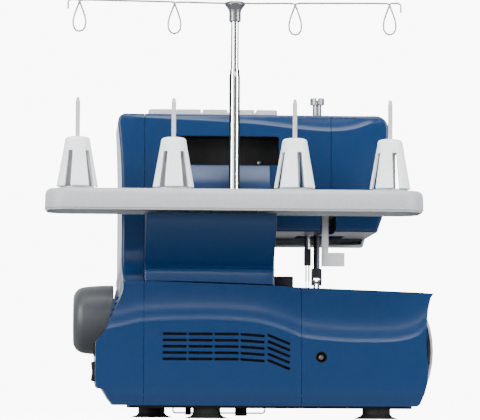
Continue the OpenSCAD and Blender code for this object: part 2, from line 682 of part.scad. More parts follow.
module presser_lifter() {
    color([0.86, 0.88, 0.90]) difference() {
        union() {
            xcyl(lifter_x - 3.3, lifter_x + 3.3, lifter_y, lifter_z, 6);
            box([lifter_x - 3.3, lifter_y - 3, 151.5], [lifter_x + 3.3, lifter_y + 3, lifter_z]);
            box([pad_x, lifter_y - 2.5, 151.5], [lifter_x, lifter_y + 2.5, 165]);
            translate([0, lifter_y, lifter_z]) rotate([-50, 0, 0])
                box([lifter_x - 2.2, -2, 0], [lifter_x + 2.2, 2, 13]);
        }
        xcyl(lifter_x - 5, lifter_x + 5, lifter_y, lifter_z, 2.5 + run_gap);
    }
}
module lifter_bracket() {
    color([0.62, 0.63, 0.65]) {
        difference() {
            union() {
                for (x = [-7.3, 4.3]) box([lifter_x + x, lifter_y - 8, lifter_z - 6],
                    [lifter_x + x + 3, lifter_y + 8, arm_z]);
                box([lifter_x - 7.3, -10, arm_z - 3], [lifter_x + 7.3, lifter_y + 8, arm_z]);
            }
            xcyl(lifter_x - 9, lifter_x + 9, lifter_y, lifter_z, 2.5 - eps);
        }
        xcyl(lifter_x - 8, lifter_x + 8, lifter_y, lifter_z, 2.5);
    }
}

// ---------- knives, loopers and feed ----------
module upper_knife() {
    color([0.07, 0.07, 0.08]) {
        box([-55.5, -82, 134.5], [-31.5, -67, 145]);
        box([-40, -80, 100], [-32, -70, 135]);
        box([-55.5, -80, 116], [-54, -69, 135]);
    }
}
module lower_knife() {
    color("silver") {
        box([-59, -82, 96], [-56.2, -68, bed_top - 1.6]);
        box([-59, -79, pan_top + 6], [-56.2, -71, 97]);
    }
}
lower_pivot = [-50, 42];
upper_pivot = [-12, 62];
module lower_looper() {
    color("silver") {
        ycyl(-62, -27, lower_pivot.x, lower_pivot.y, 4);
        ycyl(-61.5, -56, lower_pivot.x, lower_pivot.y, 8);
        along_y(-60.5, -58.5) polygon([lower_pivot + [-3, 0], lower_pivot + [3, 0], lower_pivot + [4, 62],
            lower_pivot + [-2, 68], lower_pivot + [-26, 71], lower_pivot + [-27, 69.6],
                lower_pivot + [-6, 62]]);
    }
}
module upper_looper() {
    color("silver") {
        ycyl(-57, -27, upper_pivot.x, upper_pivot.y, 4);
        ycyl(-56.5, -51.5, upper_pivot.x, upper_pivot.y, 8);
        along_y(-55.5, -53.5) polygon([upper_pivot + [0, -3], upper_pivot + [2, 4], upper_pivot + [-22, 34],
            upper_pivot + [-38, 50], upper_pivot + [-40, 49], upper_pivot + [-30, 34],
                upper_pivot + [-24, 24]]);
    }
}
module looper_brackets() {
    color([0.62, 0.63, 0.65]) for (p = [lower_pivot, upper_pivot]) difference() {
        box([p.x - 10, -50, pan_top + 6], [p.x + 10, -30, p.y + 8]);
        ycyl(-51, -29, p.x, p.y, 4 + run_gap);
    }
}
module feed_dog(y0, y1, stem_y) {
    top = bed_top + 2.1;
    color("silver") {
        box([-90.5, y0, top - 9], [-75.5, y1, top - 1]);
        for (x = [-90.5, -80.5]) along_x(x, x + 5)
            polygon(concat([[y0, top - 1.1]],
                [for (i = [0:floor((y1 - y0) / 2) - 1])
                    each [[y0 + 2 * i + 0.2, top - 1], [y0 + 2 * i + 1, top]]],
                [[y1, top - 1], [y1, top - 1.1]]));
        box([-88, stem_y, 100], [-78, stem_y + 6, top - 8.9]);
    }
}
module main_feed_dog() { feed_dog(-51, -17, -26); }
module front_feed_dog() { feed_dog(-89, -63, -87); }

// ---------- controls ----------
dial_y = panel_front + 9;
dial_z = 245;
module tension_axle() {
    color("silver") {
        xcyl(dial_x0 - 9, dial_x0 + 3 * dial_pitch + 9, dial_y, dial_z, 2);
        for (x = [dial_x0 - 9, dial_x0 + 3 * dial_pitch + 7])
            box([x, panel_front + wall, dial_z - 4], [x + 2, dial_y - 1.9, dial_z + 4]);
    }
}
module tension_dial(i) {
    color([0.86, 0.87, 0.88]) translate([dial_x0 + i * dial_pitch, dial_y, dial_z]) difference() {
        xcyl(-dial_w / 2, dial_w / 2, 0, 0, dial_r);
        xcyl(-dial_w, dial_w, 0, 0, 2 + run_gap);
        for (a = [0:12:359]) rotate([a, 0, 0])
            translate([-dial_w, dial_r + 0.5, 0]) rotate([0, 90, 0])
                cylinder(h = 2 * dial_w, r = 1.1, $fn = 16);
    }
}
module side_dial(y, z, r) {
    color([0.80, 0.82, 0.83]) {
        xcyl(column_right + touch, column_right + 11, y, z, r);
        xcyl(column_right - 8, column_right + touch + eps, y, z, 4);
        xcyl(column_right - 12, column_right - 8 + eps, y, z, 8);
    }
}
module stitch_length_dial() { side_dial(-66, 46, 15); }
module differential_dial() { side_dial(-66, 88, 13); }
switch_x = swell_right - 2.7;  // rocker's pivot
switch_z = 45.2;
module power_switch() {
    x0 = switch_x - 4;
    color([0.04, 0.04, 0.05]) {
        along_y(46.5, 59.5)
            polygon([[x0, switch_z - 8], [x0 + 7, switch_z - 10], [x0 + 9.8, switch_z - 9],
                [x0 + 8.6, switch_z], [x0 + 9.8, switch_z + 9], [x0 + 7, switch_z + 10],
                [x0, switch_z + 8]]);
        ycyl(46.5, 59.5, switch_x, switch_z, 4.4);
    }
}
module power_inlet() {
    color([0.04, 0.04, 0.05]) {
        difference() {
            box([swell_right - 16.7, 42.5, 60], [swell_right + 0.7, 63.5, 73]);
            box([swell_right - 10.7, 45, 62.2], [swell_right + 1.3, 61, 70.8]);
        }
    }
}

// ---------- spool stand ----------
tray_corner = 24;
module tray_outline(t) {
    a = [tray_w / 2 - t, tray_d / 2 - t];
    polygon(rounded([tray_x, tray_y] - a, [tray_x, tray_y] + a, tray_corner - t));
}
module spool_tray() {
    color([0.72, 0.74, 0.75]) difference() {
        union() {
            difference() {
                along_z(tray_bottom, tray_top) tray_outline(0);
                along_z(tray_bottom - 1, tray_top - 3) tray_outline(3);
            }
            for (x = pin_offsets) zcyl(tray_bottom + 4, tray_top - 2, tray_x + x, tray_y, 8);
            for (x = [-14, 10])
                box([tray_x + x, tray_y - 26, tray_bottom + 3 + touch],
                    [tray_x + x + 4, tray_y + 20, tray_top - 2]);
        }
        zcyl(tray_bottom, tray_top + 1, tray_x, tray_y, pole_r + 0.4);
        for (x = pin_offsets) zcyl(tray_bottom, tray_top + 1, tray_x + x, tray_y, 3.2);
    }
}
module stand_bracket() {
    color([0.45, 0.46, 0.48]) {
        box([tray_x - 22, tray_y - 30, tray_bottom], [tray_x + 22, tray_y + 7, tray_bottom + 3]);
    }
}
module spool_pins() {
    color([0.75, 0.76, 0.78]) for (x = pin_offsets) translate([tray_x + x, tray_y, 0]) {
        translate([0, 0, tray_top]) cylinder(h = 52, r = 2.5);
        translate([0, 0, tray_top + 52 - eps]) cylinder(h = pin_h - 52 - 4, r = 2.2);
        translate([0, 0, tray_top + pin_h - 4 - 2 * eps]) cylinder(h = 4, r1 = 2.2, r2 = 1.2);
        translate([0, 0, tray_bottom + 2]) cylinder(h = tray_h - 2 + eps, r = 3.2);
        translate([0, 0, tray_top]) difference() {
            cylinder(h = 2.6, r = cone_r - 3);
            translate([0, 0, 1]) cylinder(h = 3, r = cone_r - 5);
        }
    }
}
cone_turns = [8, 0, -20, -24];
cone_z = tray_top + 3;
module cone_holder(i) {
    color([0.93, 0.94, 0.95]) translate([tray_x + pin_offsets[3 - i], tray_y, cone_z]) difference() {
        union() {
            difference() {
                rotate_extrude() polygon([[0, 0], [cone_r, 0], [12.4, cone_h - 2], [11, cone_h],
                    [0, cone_h]]);
                rotate_extrude() polygon([[0, -1], [cone_r - 1.8, -1], [cone_r - 2, 0],
                    [10.6, cone_h - 4], [0, cone_h - 4]]);
            }
            cylinder(h = cone_h - 1, r = 4.8);
        }
        translate([0, 0, -1]) cylinder(h = cone_h + 2, r = 3.3);
        for (a = [0:72:359]) rotate([0, 0, a + 54 + cone_turns[i]])
            box([6, -2.6, -1], [cone_r + 2, 2.6, cone_h - 14]);
    }
}
module pole_lower_tube() {
    color("silver") translate([tray_x, tray_y, pole_top - pole_l]) difference() {
        union() {
            cylinder(h = pole_l - 7, r = pole_r);
            translate([0, 0, pole_l - 7 - eps]) cylinder(h = 4, r1 = pole_r, r2 = pole_r - 0.6);
            translate([0, 0, pole_l - 3 - 2 * eps]) cylinder(h = 3 + 2 * eps, r = pole_r - 0.6);
        }
        translate([0, 0, 2]) cylinder(h = pole_l, r = inner_r + run_gap);
    }
}
upper_len = 141;
module pole_upper_tube() {
    color("silver") translate([tray_x, tray_y, head_z + 10 - upper_len]) difference() {
        cylinder(h = upper_len, r = inner_r);
        translate([0, 0, -1]) cylinder(h = upper_len - 1, r = inner_r - 0.7);
    }
}
// The wires: two arms that rise gently from the guide head, each with two teardrop eyelets and a hooked end
eyelet_w = 9;
eyelet_h = 30;
arm_rise = 1.4;
function eyelet(x, s, z) = [for (i = [0:16]) let (a = 22.5 * i)
    [x + s * eyelet_w * sin(a) * pow(sin(a / 2), 1.6), -1.1 + 2.2 * i / 16,
        z - eyelet_h * (1 - cos(a)) / 2]];
function guide_arm(s) =
    let (z1 = head_z + 18.5, z2 = z1 + arm_rise, x1 = s * pin_inner, x2 = s * (pin_outer - 0.8))
    concat(
        [[s * 5, 0, z1 - 0.4], [s * 20, -0.4, z1 - 0.3]],
        [[x1 - s * 12, -1, z1 + 0.3], [x1 - s * 3, -1.1, z1 + 0.2]],
        eyelet(x1, s, z1 - 0.6),
        [[x1 + s * 3, 1.1, z1 + 0.2], [x1 + s * 12, 0.8, z1 + 0.4]],
        [[x2 - s * 12, -1, z2], [x2 - s * 3, -1.1, z2 - 0.1]],
        eyelet(x2, s, z2 - 0.8),
        [[x2 + s * 3, 1.1, z2 - 0.1], [x2 + s * 8, 0.6, z2], [x2 + s * 10.2, 0.2, z2 - 0.8]],
        [[x2 + s * 11, 0, z2 - 2.6], [x2 + s * 11, 0, z2 - 9]]);
module thread_guide() {
    translate([tray_x, tray_y, 0]) {
        color([0.78, 0.81, 0.83]) difference() {
            translate([0, 0, head_z]) rotate_extrude()
                polygon([[0, 0], [5.6, 0], [5.8, 1], [5.8, 9], [6.3, 11.5], [8, 14], [9.8, 16.3],
                [10, 17.6], [9.4, 18.9], [6, 19.9], [0, 20.2]]);
            translate([0, 0, head_z - 1]) cylinder(h = 11.5, r = inner_r + run_gap);
        }
        color("gray") for (s = [-1, 1]) wire(guide_arm(s), wire_r);
    }
}

rear_cover();
right_cover();
head_cover();
left_cover();
front_panel();
top_thread_guide();
cloth_plate();
needle_plate();
looper_cover();
looper_cover_rod();
base_pan();
suction_feet();
underside_wire();
frame_casting();
handwheel();
main_shaft();
shaft_bearings();
drive_pulley();
drive_belt();
motor();
motor_pulley();
drive_rod();
needle_lever();
needle_bar();
needle_clamp();
needles();
bar_bushes();
presser_bar();
presser_bracket();
presser_spring();
presser_foot();
pressure_knob();
presser_lifter();
lifter_bracket();
upper_knife();
lower_knife();
lower_looper();
upper_looper();
looper_brackets();
main_feed_dog();
front_feed_dog();
tension_axle();
tension_dial(0);  // tension_dial_1
tension_dial(1);  // tension_dial_2
tension_dial(2);  // tension_dial_3
tension_dial(3);  // tension_dial_4
stitch_length_dial();
differential_dial();
power_switch();
power_inlet();
spool_tray();
stand_bracket();
spool_pins();
cone_holder(0);  // cone_holder_1
cone_holder(1);  // cone_holder_2
cone_holder(2);  // cone_holder_3
cone_holder(3);  // cone_holder_4
pole_lower_tube();
pole_upper_tube();
thread_guide();
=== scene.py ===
"""Looks of a four-thread overlock machine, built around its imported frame. Lengths are in metres."""

import json
import math

import bmesh
import bpy
from mathutils import Matrix, Vector

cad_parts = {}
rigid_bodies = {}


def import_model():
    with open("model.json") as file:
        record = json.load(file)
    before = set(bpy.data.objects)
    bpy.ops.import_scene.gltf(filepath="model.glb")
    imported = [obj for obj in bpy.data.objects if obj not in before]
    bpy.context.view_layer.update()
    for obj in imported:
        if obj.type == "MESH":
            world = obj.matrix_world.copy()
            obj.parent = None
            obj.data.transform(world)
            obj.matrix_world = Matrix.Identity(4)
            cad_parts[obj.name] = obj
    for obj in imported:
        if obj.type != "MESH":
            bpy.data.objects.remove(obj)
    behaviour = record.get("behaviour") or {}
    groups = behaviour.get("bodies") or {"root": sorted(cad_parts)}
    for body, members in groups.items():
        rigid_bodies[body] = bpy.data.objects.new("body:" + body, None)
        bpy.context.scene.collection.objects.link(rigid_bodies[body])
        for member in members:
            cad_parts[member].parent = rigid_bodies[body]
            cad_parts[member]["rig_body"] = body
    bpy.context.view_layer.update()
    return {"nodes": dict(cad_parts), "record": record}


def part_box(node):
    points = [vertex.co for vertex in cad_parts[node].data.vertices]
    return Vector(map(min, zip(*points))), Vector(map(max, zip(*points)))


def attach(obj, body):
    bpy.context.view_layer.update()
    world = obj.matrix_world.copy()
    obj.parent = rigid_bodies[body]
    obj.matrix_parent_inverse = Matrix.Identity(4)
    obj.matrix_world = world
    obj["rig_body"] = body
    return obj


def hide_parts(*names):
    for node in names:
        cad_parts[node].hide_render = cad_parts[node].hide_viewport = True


MM = 0.001
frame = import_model()
nodes = frame["nodes"]


# ---------- shader groups shared by the finishes ----------
def new_group(name, inputs, outputs):
    """An empty shader group with named float or colour sockets, and its two end nodes."""
    group = bpy.data.node_groups.new(name, "ShaderNodeTree")
    for label, kind, value in inputs:
        socket = group.interface.new_socket(label, in_out="INPUT", socket_type=kind)
        if value is not None:
            socket.default_value = value
    for label, kind in outputs:
        group.interface.new_socket(label, in_out="OUTPUT", socket_type=kind)
    return group, group.nodes.new("NodeGroupInput"), group.nodes.new("NodeGroupOutput")


def give(tree, socket, value):
    """Links an output to a socket, or sets it to a plain value."""
    if isinstance(value, bpy.types.NodeSocket):
        tree.links.new(value, socket)
    else:
        socket.default_value = value


def noise(tree, scale, detail, vector):
    node = tree.nodes.new("ShaderNodeTexNoise")
    node.inputs["Detail"].default_value = detail
    give(tree, node.inputs["Scale"], scale)
    tree.links.new(vector, node.inputs["Vector"])
    return node.outputs["Fac"]


def remap(tree, value, low, high, to_low, to_high):
    node = tree.nodes.new("ShaderNodeMapRange")
    tree.links.new(value, node.inputs["Value"])
    for label, number in (("From Min", low), ("From Max", high), ("To Min", to_low), ("To Max", to_high)):
        give(tree, node.inputs[label], number)
    return node.outputs["Result"]


def add(tree, first, second):
    node = tree.nodes.new("ShaderNodeMath")
    tree.links.new(first, node.inputs[0])
    tree.links.new(second, node.inputs[1])
    return node.outputs[0]


def blend(tree, factor, first, second, kind="MIX"):
    """Mixes two colours, each an output or a plain value."""
    node = tree.nodes.new("ShaderNodeMix")
    node.data_type = "RGBA"
    node.blend_type = kind
    tree.links.new(factor, node.inputs["Factor"])
    give(tree, node.inputs["A"], first)
    give(tree, node.inputs["B"], second)
    return node.outputs["Result"]


SURFACE_OUTPUTS = [("Colour", "NodeSocketColor"), ("Roughness", "NodeSocketFloat"),
                   ("Height", "NodeSocketFloat")]


def make_moulded_group():
    """Moulded plastic: fine flecks of colour, surface grain and small marks in the gloss."""
    group, start, end = new_group(
        "moulded_surface",
        [("Colour", "NodeSocketColor", None), ("Dark Colour", "NodeSocketColor", None),
         ("Roughness", "NodeSocketFloat", 0.3), ("Roughness Spread", "NodeSocketFloat", 0.08),
         ("Grain Scale", "NodeSocketFloat", 900.0)],
        SURFACE_OUTPUTS)
    where = group.nodes.new("ShaderNodeTexCoord").outputs["Object"]
    smooth = start.outputs["Roughness"]
    flecks = remap(group, noise(group, scale=260.0, detail=3.0, vector=where), 0.35, 0.65, 0.0, 1.0)
    colour = blend(group, flecks, start.outputs["Dark Colour"], start.outputs["Colour"])
    group.links.new(colour, end.inputs["Colour"])
    marks = noise(group, scale=120.0, detail=6.0, vector=where)
    rough = add(group, smooth, start.outputs["Roughness Spread"])
    group.links.new(remap(group, marks, 0.35, 0.65, smooth, rough), end.inputs["Roughness"])
    grain = noise(group, start.outputs["Grain Scale"], detail=2.0, vector=where)
    group.links.new(grain, end.inputs["Height"])
    return group


def make_metal_group():
    """Worked metal: streaks drawn along one direction, with a little staining."""
    group, start, end = new_group(
        "worked_metal",
        [("Colour", "NodeSocketColor", None), ("Roughness", "NodeSocketFloat", 0.25),
         ("Roughness Spread", "NodeSocketFloat", 0.12), ("Streak", "NodeSocketVector", None)],
        SURFACE_OUTPUTS)
    where = group.nodes.new("ShaderNodeTexCoord").outputs["Object"]
    smooth = start.outputs["Roughness"]
    stretch = group.nodes.new("ShaderNodeVectorMath")
    stretch.operation = "MULTIPLY"
    group.links.new(where, stretch.inputs[0])
    group.links.new(start.outputs["Streak"], stretch.inputs[1])
    streaks = noise(group, scale=60.0, detail=5.0, vector=stretch.outputs["Vector"])
    rough = add(group, smooth, start.outputs["Roughness Spread"])
    group.links.new(remap(group, streaks, 0.3, 0.7, smooth, rough), end.inputs["Roughness"])
    group.links.new(streaks, end.inputs["Height"])
    stains = remap(group, noise(group, scale=22.0, detail=4.0, vector=where), 0.45, 0.75, 0.0, 0.6)
    colour = blend(group, stains, start.outputs["Colour"], (0.78, 0.78, 0.80, 1), "MULTIPLY")
    group.links.new(colour, end.inputs["Colour"])
    return group


MOULDED = make_moulded_group()
WORKED = make_metal_group()


def new_material(name, group, values, bump, shader_values):
    """A finish that takes colour, roughness and relief from a shared group."""
    material = bpy.data.materials.new(name)
    material.use_nodes = True
    tree = material.node_tree
    shader = tree.nodes["Principled BSDF"]
    for label, value in shader_values.items():
        shader.inputs[label].default_value = value
    surface = tree.nodes.new("ShaderNodeGroup")
    surface.node_tree = group
    for label, value in values.items():
        surface.inputs[label].default_value = value
    relief = tree.nodes.new("ShaderNodeBump")
    relief.inputs["Strength"].default_value = bump
    relief.inputs["Distance"].default_value = 0.05 * MM
    tree.links.new(surface.outputs["Height"], relief.inputs["Height"])
    tree.links.new(surface.outputs["Colour"], shader.inputs["Base Color"])
    tree.links.new(surface.outputs["Roughness"], shader.inputs["Roughness"])
    tree.links.new(relief.outputs["Normal"], shader.inputs["Normal"])
    return material


def plastic(name, colour, roughness, spread=0.08, bump=0.25, grain=900.0, coat=0.0, gloss=0.5):
    dark = tuple(0.93 * c for c in colour)
    return new_material(
        name, MOULDED,
        {"Colour": (*colour, 1), "Dark Colour": (*dark, 1), "Roughness": roughness,
         "Roughness Spread": spread, "Grain Scale": grain},
        bump, {"Coat Weight": coat, "Coat Roughness": 0.12, "IOR": 1.5, "Specular IOR Level": gloss})


def metal(name, colour, roughness, spread=0.12, bump=0.15, streak=(1, 1, 1)):
    return new_material(
        name, WORKED,
        {"Colour": (*colour, 1), "Roughness": roughness, "Roughness Spread": spread, "Streak": streak},
        bump, {"Metallic": 1.0})


def paint_dark_rim_reflection(material, start, rim):
    """Paints a dark reflection into a polished tube's colour, falling to near black towards its outline."""
    tree = material.node_tree
    base = tree.nodes["Principled BSDF"].inputs["Base Color"]
    facing = tree.nodes.new("ShaderNodeLayerWeight")
    facing.inputs["Blend"].default_value = 0.5
    edge = remap(tree, facing.outputs["Facing"], start, start + 0.12, 0.0, 1.0)
    tree.links.new(blend(tree, edge, base.links[0].from_socket, (*rim, 1)), base)


# One finish for each material slot
FINISH = {
    "blue_plastic": plastic("deep_blue_casing", (0.0010, 0.0195, 0.0720), 0.28, 0.04, 0.12, coat=0.05,
                            gloss=0.3),
    "grey_plastic": plastic("light_grey_moulding", (0.33, 0.345, 0.36), 0.42),
    "white_plastic": plastic("white_moulding", (0.80, 0.82, 0.84), 0.36),
    "black_plastic": plastic("black_moulding", (0.003, 0.003, 0.0035), 0.5, bump=0.5, gloss=0.25),
    "rubber": plastic("black_rubber", (0.010, 0.010, 0.010), 0.62, 0.15, 0.8, 500.0),
    "steel": metal("brushed_steel", (0.62, 0.63, 0.65), 0.24, streak=(1, 1, 0.05)),
    "chrome": metal("plated_tube", (0.80, 0.82, 0.84), 0.12, 0.06, streak=(1, 1, 0.04)),
    # the alloy's colour is darkened to paint in the shade inside the closed casing
    "casting": metal("die_cast_alloy_shade_darkened", (0.17, 0.175, 0.185), 0.55, 0.2, 0.8),
    "bronze": metal("sintered_bronze", (0.46, 0.31, 0.13), 0.42, 0.15, 0.5),
    "dark_steel": metal("blackened_steel", (0.07, 0.075, 0.085), 0.36, 0.14),
}
# painted reflection: the plated tubes' colour darkens to near black towards their outlines
paint_dark_rim_reflection(FINISH["chrome"], 0.16, (0.02, 0.021, 0.024))
# Finishes of single pieces, in place of their slot's own
ZINC = metal("zinc_screw", (0.22, 0.22, 0.21), 0.35)
WHEEL_GREY = plastic("wheel_grey", (0.030, 0.034, 0.040), 0.45)
NODE_FINISH = {
    "spool_pins": plastic("pin_grey", (0.40, 0.41, 0.43), 0.4),
    "thread_guide": metal("guide_wire", (0.16, 0.165, 0.18), 0.3, streak=(0.05, 1, 1)),
    "pressure_knob": metal("knurled_knob", (0.24, 0.25, 0.27), 0.35),
}
SLOT = {entry["node"]: entry["material_slot"] for entry in frame["record"]["subparts"]}
for node_name, slot_name in SLOT.items():
    painted = nodes[node_name].data
    painted.materials.clear()
    painted.materials.append(NODE_FINISH.get(node_name, FINISH[slot_name]))


# ---------- mesh tools, in millimetres until a piece is finished ----------
def arc(cx, cz, radius, start, end, steps=6):
    angles = [math.radians(start + (end - start) * i / steps) for i in range(steps + 1)]
    return [(cx + radius * math.cos(a), cz + radius * math.sin(a)) for a in angles]


def ease(value):
    value = min(max(value, 0.0), 1.0)
    return value * value * (3 - 2 * value)


def follow(points, at):
    """Height of a smooth line through a few (position, height) points, rising in position."""
    if at <= points[0][0]:
        return points[0][1]
    if at >= points[-1][0]:
        return points[-1][1]
    last = len(points) - 1
    i = max(k for k in range(last) if points[k][0] <= at)
    (x0, z0), (x1, z1) = points[i], points[i + 1]

    def slope(k):
        a, b = points[max(k - 1, 0)], points[min(k + 1, last)]
        return (b[1] - a[1]) / (b[0] - a[0])

    span = x1 - x0
    t = (at - x0) / span
    return ((2 * t**3 - 3 * t**2 + 1) * z0 + (t**3 - 2 * t**2 + t) * span * slope(i)
            + (3 * t**2 - 2 * t**3) * z1 + (t**3 - t**2) * span * slope(i + 1))


def cut_at(bm, place, direction, keep_below=False):
    """Divides a mesh along a plane, and can drop what lies beyond it."""
    bmesh.ops.bisect_plane(bm, geom=bm.verts[:] + bm.edges[:] + bm.faces[:], dist=1e-5,
                           plane_co=place, plane_no=direction, clear_outer=keep_below)


def rear_slab(outline, y_front, y_rear, roll, step=5.0, open_front=True):
    """An X-Z outline drawn along Y, its rear edge rolled over, and its faces divided into a grid."""
    bm = bmesh.new()
    front = [bm.verts.new((x, y_front, z)) for x, z in outline]
    rear = [bm.verts.new((x, y_rear, z)) for x, z in outline]
    count = len(outline)
    for i in range(count):
        k = (i + 1) % count
        bm.faces.new((front[i], front[k], rear[k], rear[i]))
    front_cap = bm.faces.new(front)
    bm.faces.new(rear)
    bmesh.ops.recalc_face_normals(bm, faces=bm.faces[:])
    if open_front:
        bmesh.ops.delete(bm, geom=[front_cap], context="FACES_ONLY")
    rim = [e for e in bm.edges if all(abs(v.co.y - y_rear) < 1e-6 for v in e.verts)]
    bmesh.ops.bevel(bm, geom=rim, offset=roll, segments=7, profile=0.5, affect="EDGES", clamp_overlap=True)
    xs, zs = [x for x, _ in outline], [z for _, z in outline]
    for low, high, direction in ((min(xs), max(xs), 0), (y_front, y_rear, 1), (min(zs), max(zs), 2)):
        normal = [0, 0, 0]
        normal[direction] = 1
        for k in range(1, int((high - low) / step)):
            place = [0, 0, 0]
            place[direction] = low + k * step
            cut_at(bm, place, normal)
    return bm


def section_loft(sections):
    """A closed skin through rings that all have the same number of points."""
    bm = bmesh.new()
    rings = [[bm.verts.new(p) for p in ring] for ring in sections]
    count = len(rings[0])
    for low, high in zip(rings, rings[1:]):
        for i in range(count):
            k = (i + 1) % count
            bm.faces.new((low[i], low[k], high[k], high[i]))
    bm.faces.new(rings[0])
    bm.faces.new(rings[-1])
    bmesh.ops.recalc_face_normals(bm, faces=bm.faces[:])
    return bm


def lathe(profile, place, axis, steps):
    """A closed (radius, height) profile turned about an axis through place."""
    bm = bmesh.new()
    rings = []
    for i in range(steps):
        a = 2 * math.pi * i / steps
        rings.append([bm.verts.new((r * math.cos(a), r * math.sin(a), h)) for r, h in profile])
    for i in range(steps):
        for k in range(len(profile)):
            m = (k + 1) % len(profile)
            j = (i + 1) % steps
            bm.faces.new((rings[i][k], rings[j][k], rings[j][m], rings[i][m]))
    bmesh.ops.remove_doubles(bm, verts=bm.verts[:], dist=1e-4)
    bmesh.ops.recalc_face_normals(bm, faces=bm.faces[:])
    turn = {"Z": Matrix.Identity(4), "X": Matrix.Rotation(math.pi / 2, 4, "Y"),
            "Y": Matrix.Rotation(-math.pi / 2, 4, "X")}[axis]
    bm.transform(Matrix.Translation(place) @ turn)
    return bm


def block(low, high):
    bm = bmesh.new()
    bmesh.ops.create_cube(bm, size=1)
    for v in bm.verts:
        v.co = [l + (h - l) * (c + 0.5) for l, h, c in zip(low, high, v.co)]
    return bm


def draw_along_y(outline, start, end):
    """A closed X-Z outline drawn from one Y to another."""
    return section_loft([[(x, y, z) for x, z in outline] for y in (start, end)])


def new_object(name, data):
    piece = bpy.data.objects.new(name, data)
    bpy.context.scene.collection.objects.link(piece)
    return piece


def keep(bm, name):
    """Turns a working mesh into an object as it is, and frees it."""
    mesh = bpy.data.meshes.new(name)
    bm.to_mesh(mesh)
    bm.free()
    return new_object(name, mesh)


def as_object(bm, name):
    """Puts a millimetre mesh into the scene in metres."""
    bm.transform(Matrix.Scale(MM, 4))
    return keep(bm, name)


SHARP = math.radians(35)  # edges that turn further than this stay sharp


def bake_modifiers(piece):
    """Turns a piece's modifiers into plain mesh and shades it, sharp only at real corners."""
    graph = bpy.context.evaluated_depsgraph_get()
    graph.update()
    mesh = bpy.data.meshes.new_from_object(piece.evaluated_get(graph))
    piece.modifiers.clear()
    piece.data = mesh
    mesh.shade_smooth()
    mesh.set_sharp_from_angle(angle=SHARP)


def carve(piece, cutters, folded=False):
    """Cuts closed shapes out of a piece; a folded piece touches itself."""
    for cutter in cutters:
        step = piece.modifiers.new("cut", "BOOLEAN")
        step.object, step.solver, step.operation = cutter, "EXACT", "DIFFERENCE"
        step.use_self = folded
    bake_modifiers(piece)
    for cutter in cutters:
        bpy.data.objects.remove(cutter)


def round_edges(piece, width, angle=38):
    """Breaks the edges that turn further than angle, by a width in millimetres."""
    step = piece.modifiers.new("edges", "BEVEL")
    step.width, step.segments, step.limit_method = width * MM, 2, "ANGLE"
    step.angle_limit = math.radians(angle)
    step.use_clamp_overlap = True
    bake_modifiers(piece)


def give_wall(piece, thickness):
    """Thickens an open shell inwards."""
    step = piece.modifiers.new("wall", "SOLIDIFY")
    step.thickness, step.offset, step.use_even_offset = thickness * MM, -1, True
    bake_modifiers(piece)


def join(pieces, name):
    """One mesh out of several, all at the origin."""
    bm = bmesh.new()
    for piece in pieces:
        bm.from_mesh(piece.data)
    for piece in pieces:
        bpy.data.objects.remove(piece)
    whole = keep(bm, name)
    whole.data.set_sharp_from_angle(angle=SHARP)
    return whole


def fit(piece, body, slot, stands_for=(), finish=None):
    """Gives a piece its finish, its body and the CAD nodes it stands for."""
    piece.data.materials.clear()
    piece.data.materials.append(finish or FINISH[slot])
    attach(piece, body)
    if stands_for:
        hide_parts(*stands_for)


# ---------- copies of a small part, set out by geometry nodes ----------
def make_copies_tree():
    """Sets a template at every point of a mesh, turned about Y by the point's tilt."""
    tree = bpy.data.node_groups.new("set_out_copies", "GeometryNodeTree")
    tree.interface.new_socket("Points", in_out="INPUT", socket_type="NodeSocketGeometry")
    tree.interface.new_socket("Template", in_out="INPUT", socket_type="NodeSocketObject")
    size = tree.interface.new_socket("Size", in_out="INPUT", socket_type="NodeSocketFloat")
    size.default_value = 1.0
    tree.interface.new_socket("Finish", in_out="INPUT", socket_type="NodeSocketMaterial")
    tree.interface.new_socket("Copies", in_out="OUTPUT", socket_type="NodeSocketGeometry")
    start, end = tree.nodes.new("NodeGroupInput"), tree.nodes.new("NodeGroupOutput")
    source = tree.nodes.new("GeometryNodeObjectInfo")
    tilt = tree.nodes.new("GeometryNodeInputNamedAttribute")
    tilt.data_type = "FLOAT"
    tilt.inputs["Name"].default_value = "tilt"
    turn = tree.nodes.new("ShaderNodeCombineXYZ")
    set_out = tree.nodes.new("GeometryNodeInstanceOnPoints")
    real = tree.nodes.new("GeometryNodeRealizeInstances")
    paint = tree.nodes.new("GeometryNodeSetMaterial")
    for a, b in ((start.outputs["Points"], set_out.inputs["Points"]),
                 (start.outputs["Template"], source.inputs["Object"]),
                 (source.outputs["Geometry"], set_out.inputs["Instance"]),
                 (tilt.outputs["Attribute"], turn.inputs["Y"]),
                 (turn.outputs["Vector"], set_out.inputs["Rotation"]),
                 (start.outputs["Size"], set_out.inputs["Scale"]),
                 (set_out.outputs["Instances"], real.inputs["Geometry"]),
                 (real.outputs["Geometry"], paint.inputs["Geometry"]),
                 (start.outputs["Finish"], paint.inputs["Material"]),
                 (paint.outputs["Geometry"], end.inputs["Copies"])):
        tree.links.new(a, b)
    return tree


COPIES = make_copies_tree()


def set_out(template, places, tilts, name, finish):
    """Copies of template at places (mm), tilted in degrees about Y."""
    mesh = bpy.data.meshes.new(name)
    mesh.from_pydata([Vector(p) * MM for p in places], [], [])
    tilt = mesh.attributes.new("tilt", "FLOAT", "POINT")
    tilt.data.foreach_set("value", [math.radians(t) for t in tilts])
    piece = new_object(name, mesh)
    modifier = piece.modifiers.new("copies", "NODES")
    modifier.node_group = COPIES
    sockets = {s.name: s.identifier for s in COPIES.interface.items_tree if s.in_out == "INPUT"}
    modifier[sockets["Template"]] = template
    modifier[sockets["Size"]] = 1.0
    modifier[sockets["Finish"]] = finish
    bake_modifiers(piece)
    bpy.data.objects.remove(template)
    return piece


# ---------- driving sizes of the casing, read from the frame ----------
def edges(node):
    """The low and high corners of a CAD node's box, in millimetres."""
    low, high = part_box(node)
    return tuple(c / MM for c in low), tuple(c / MM for c in high)


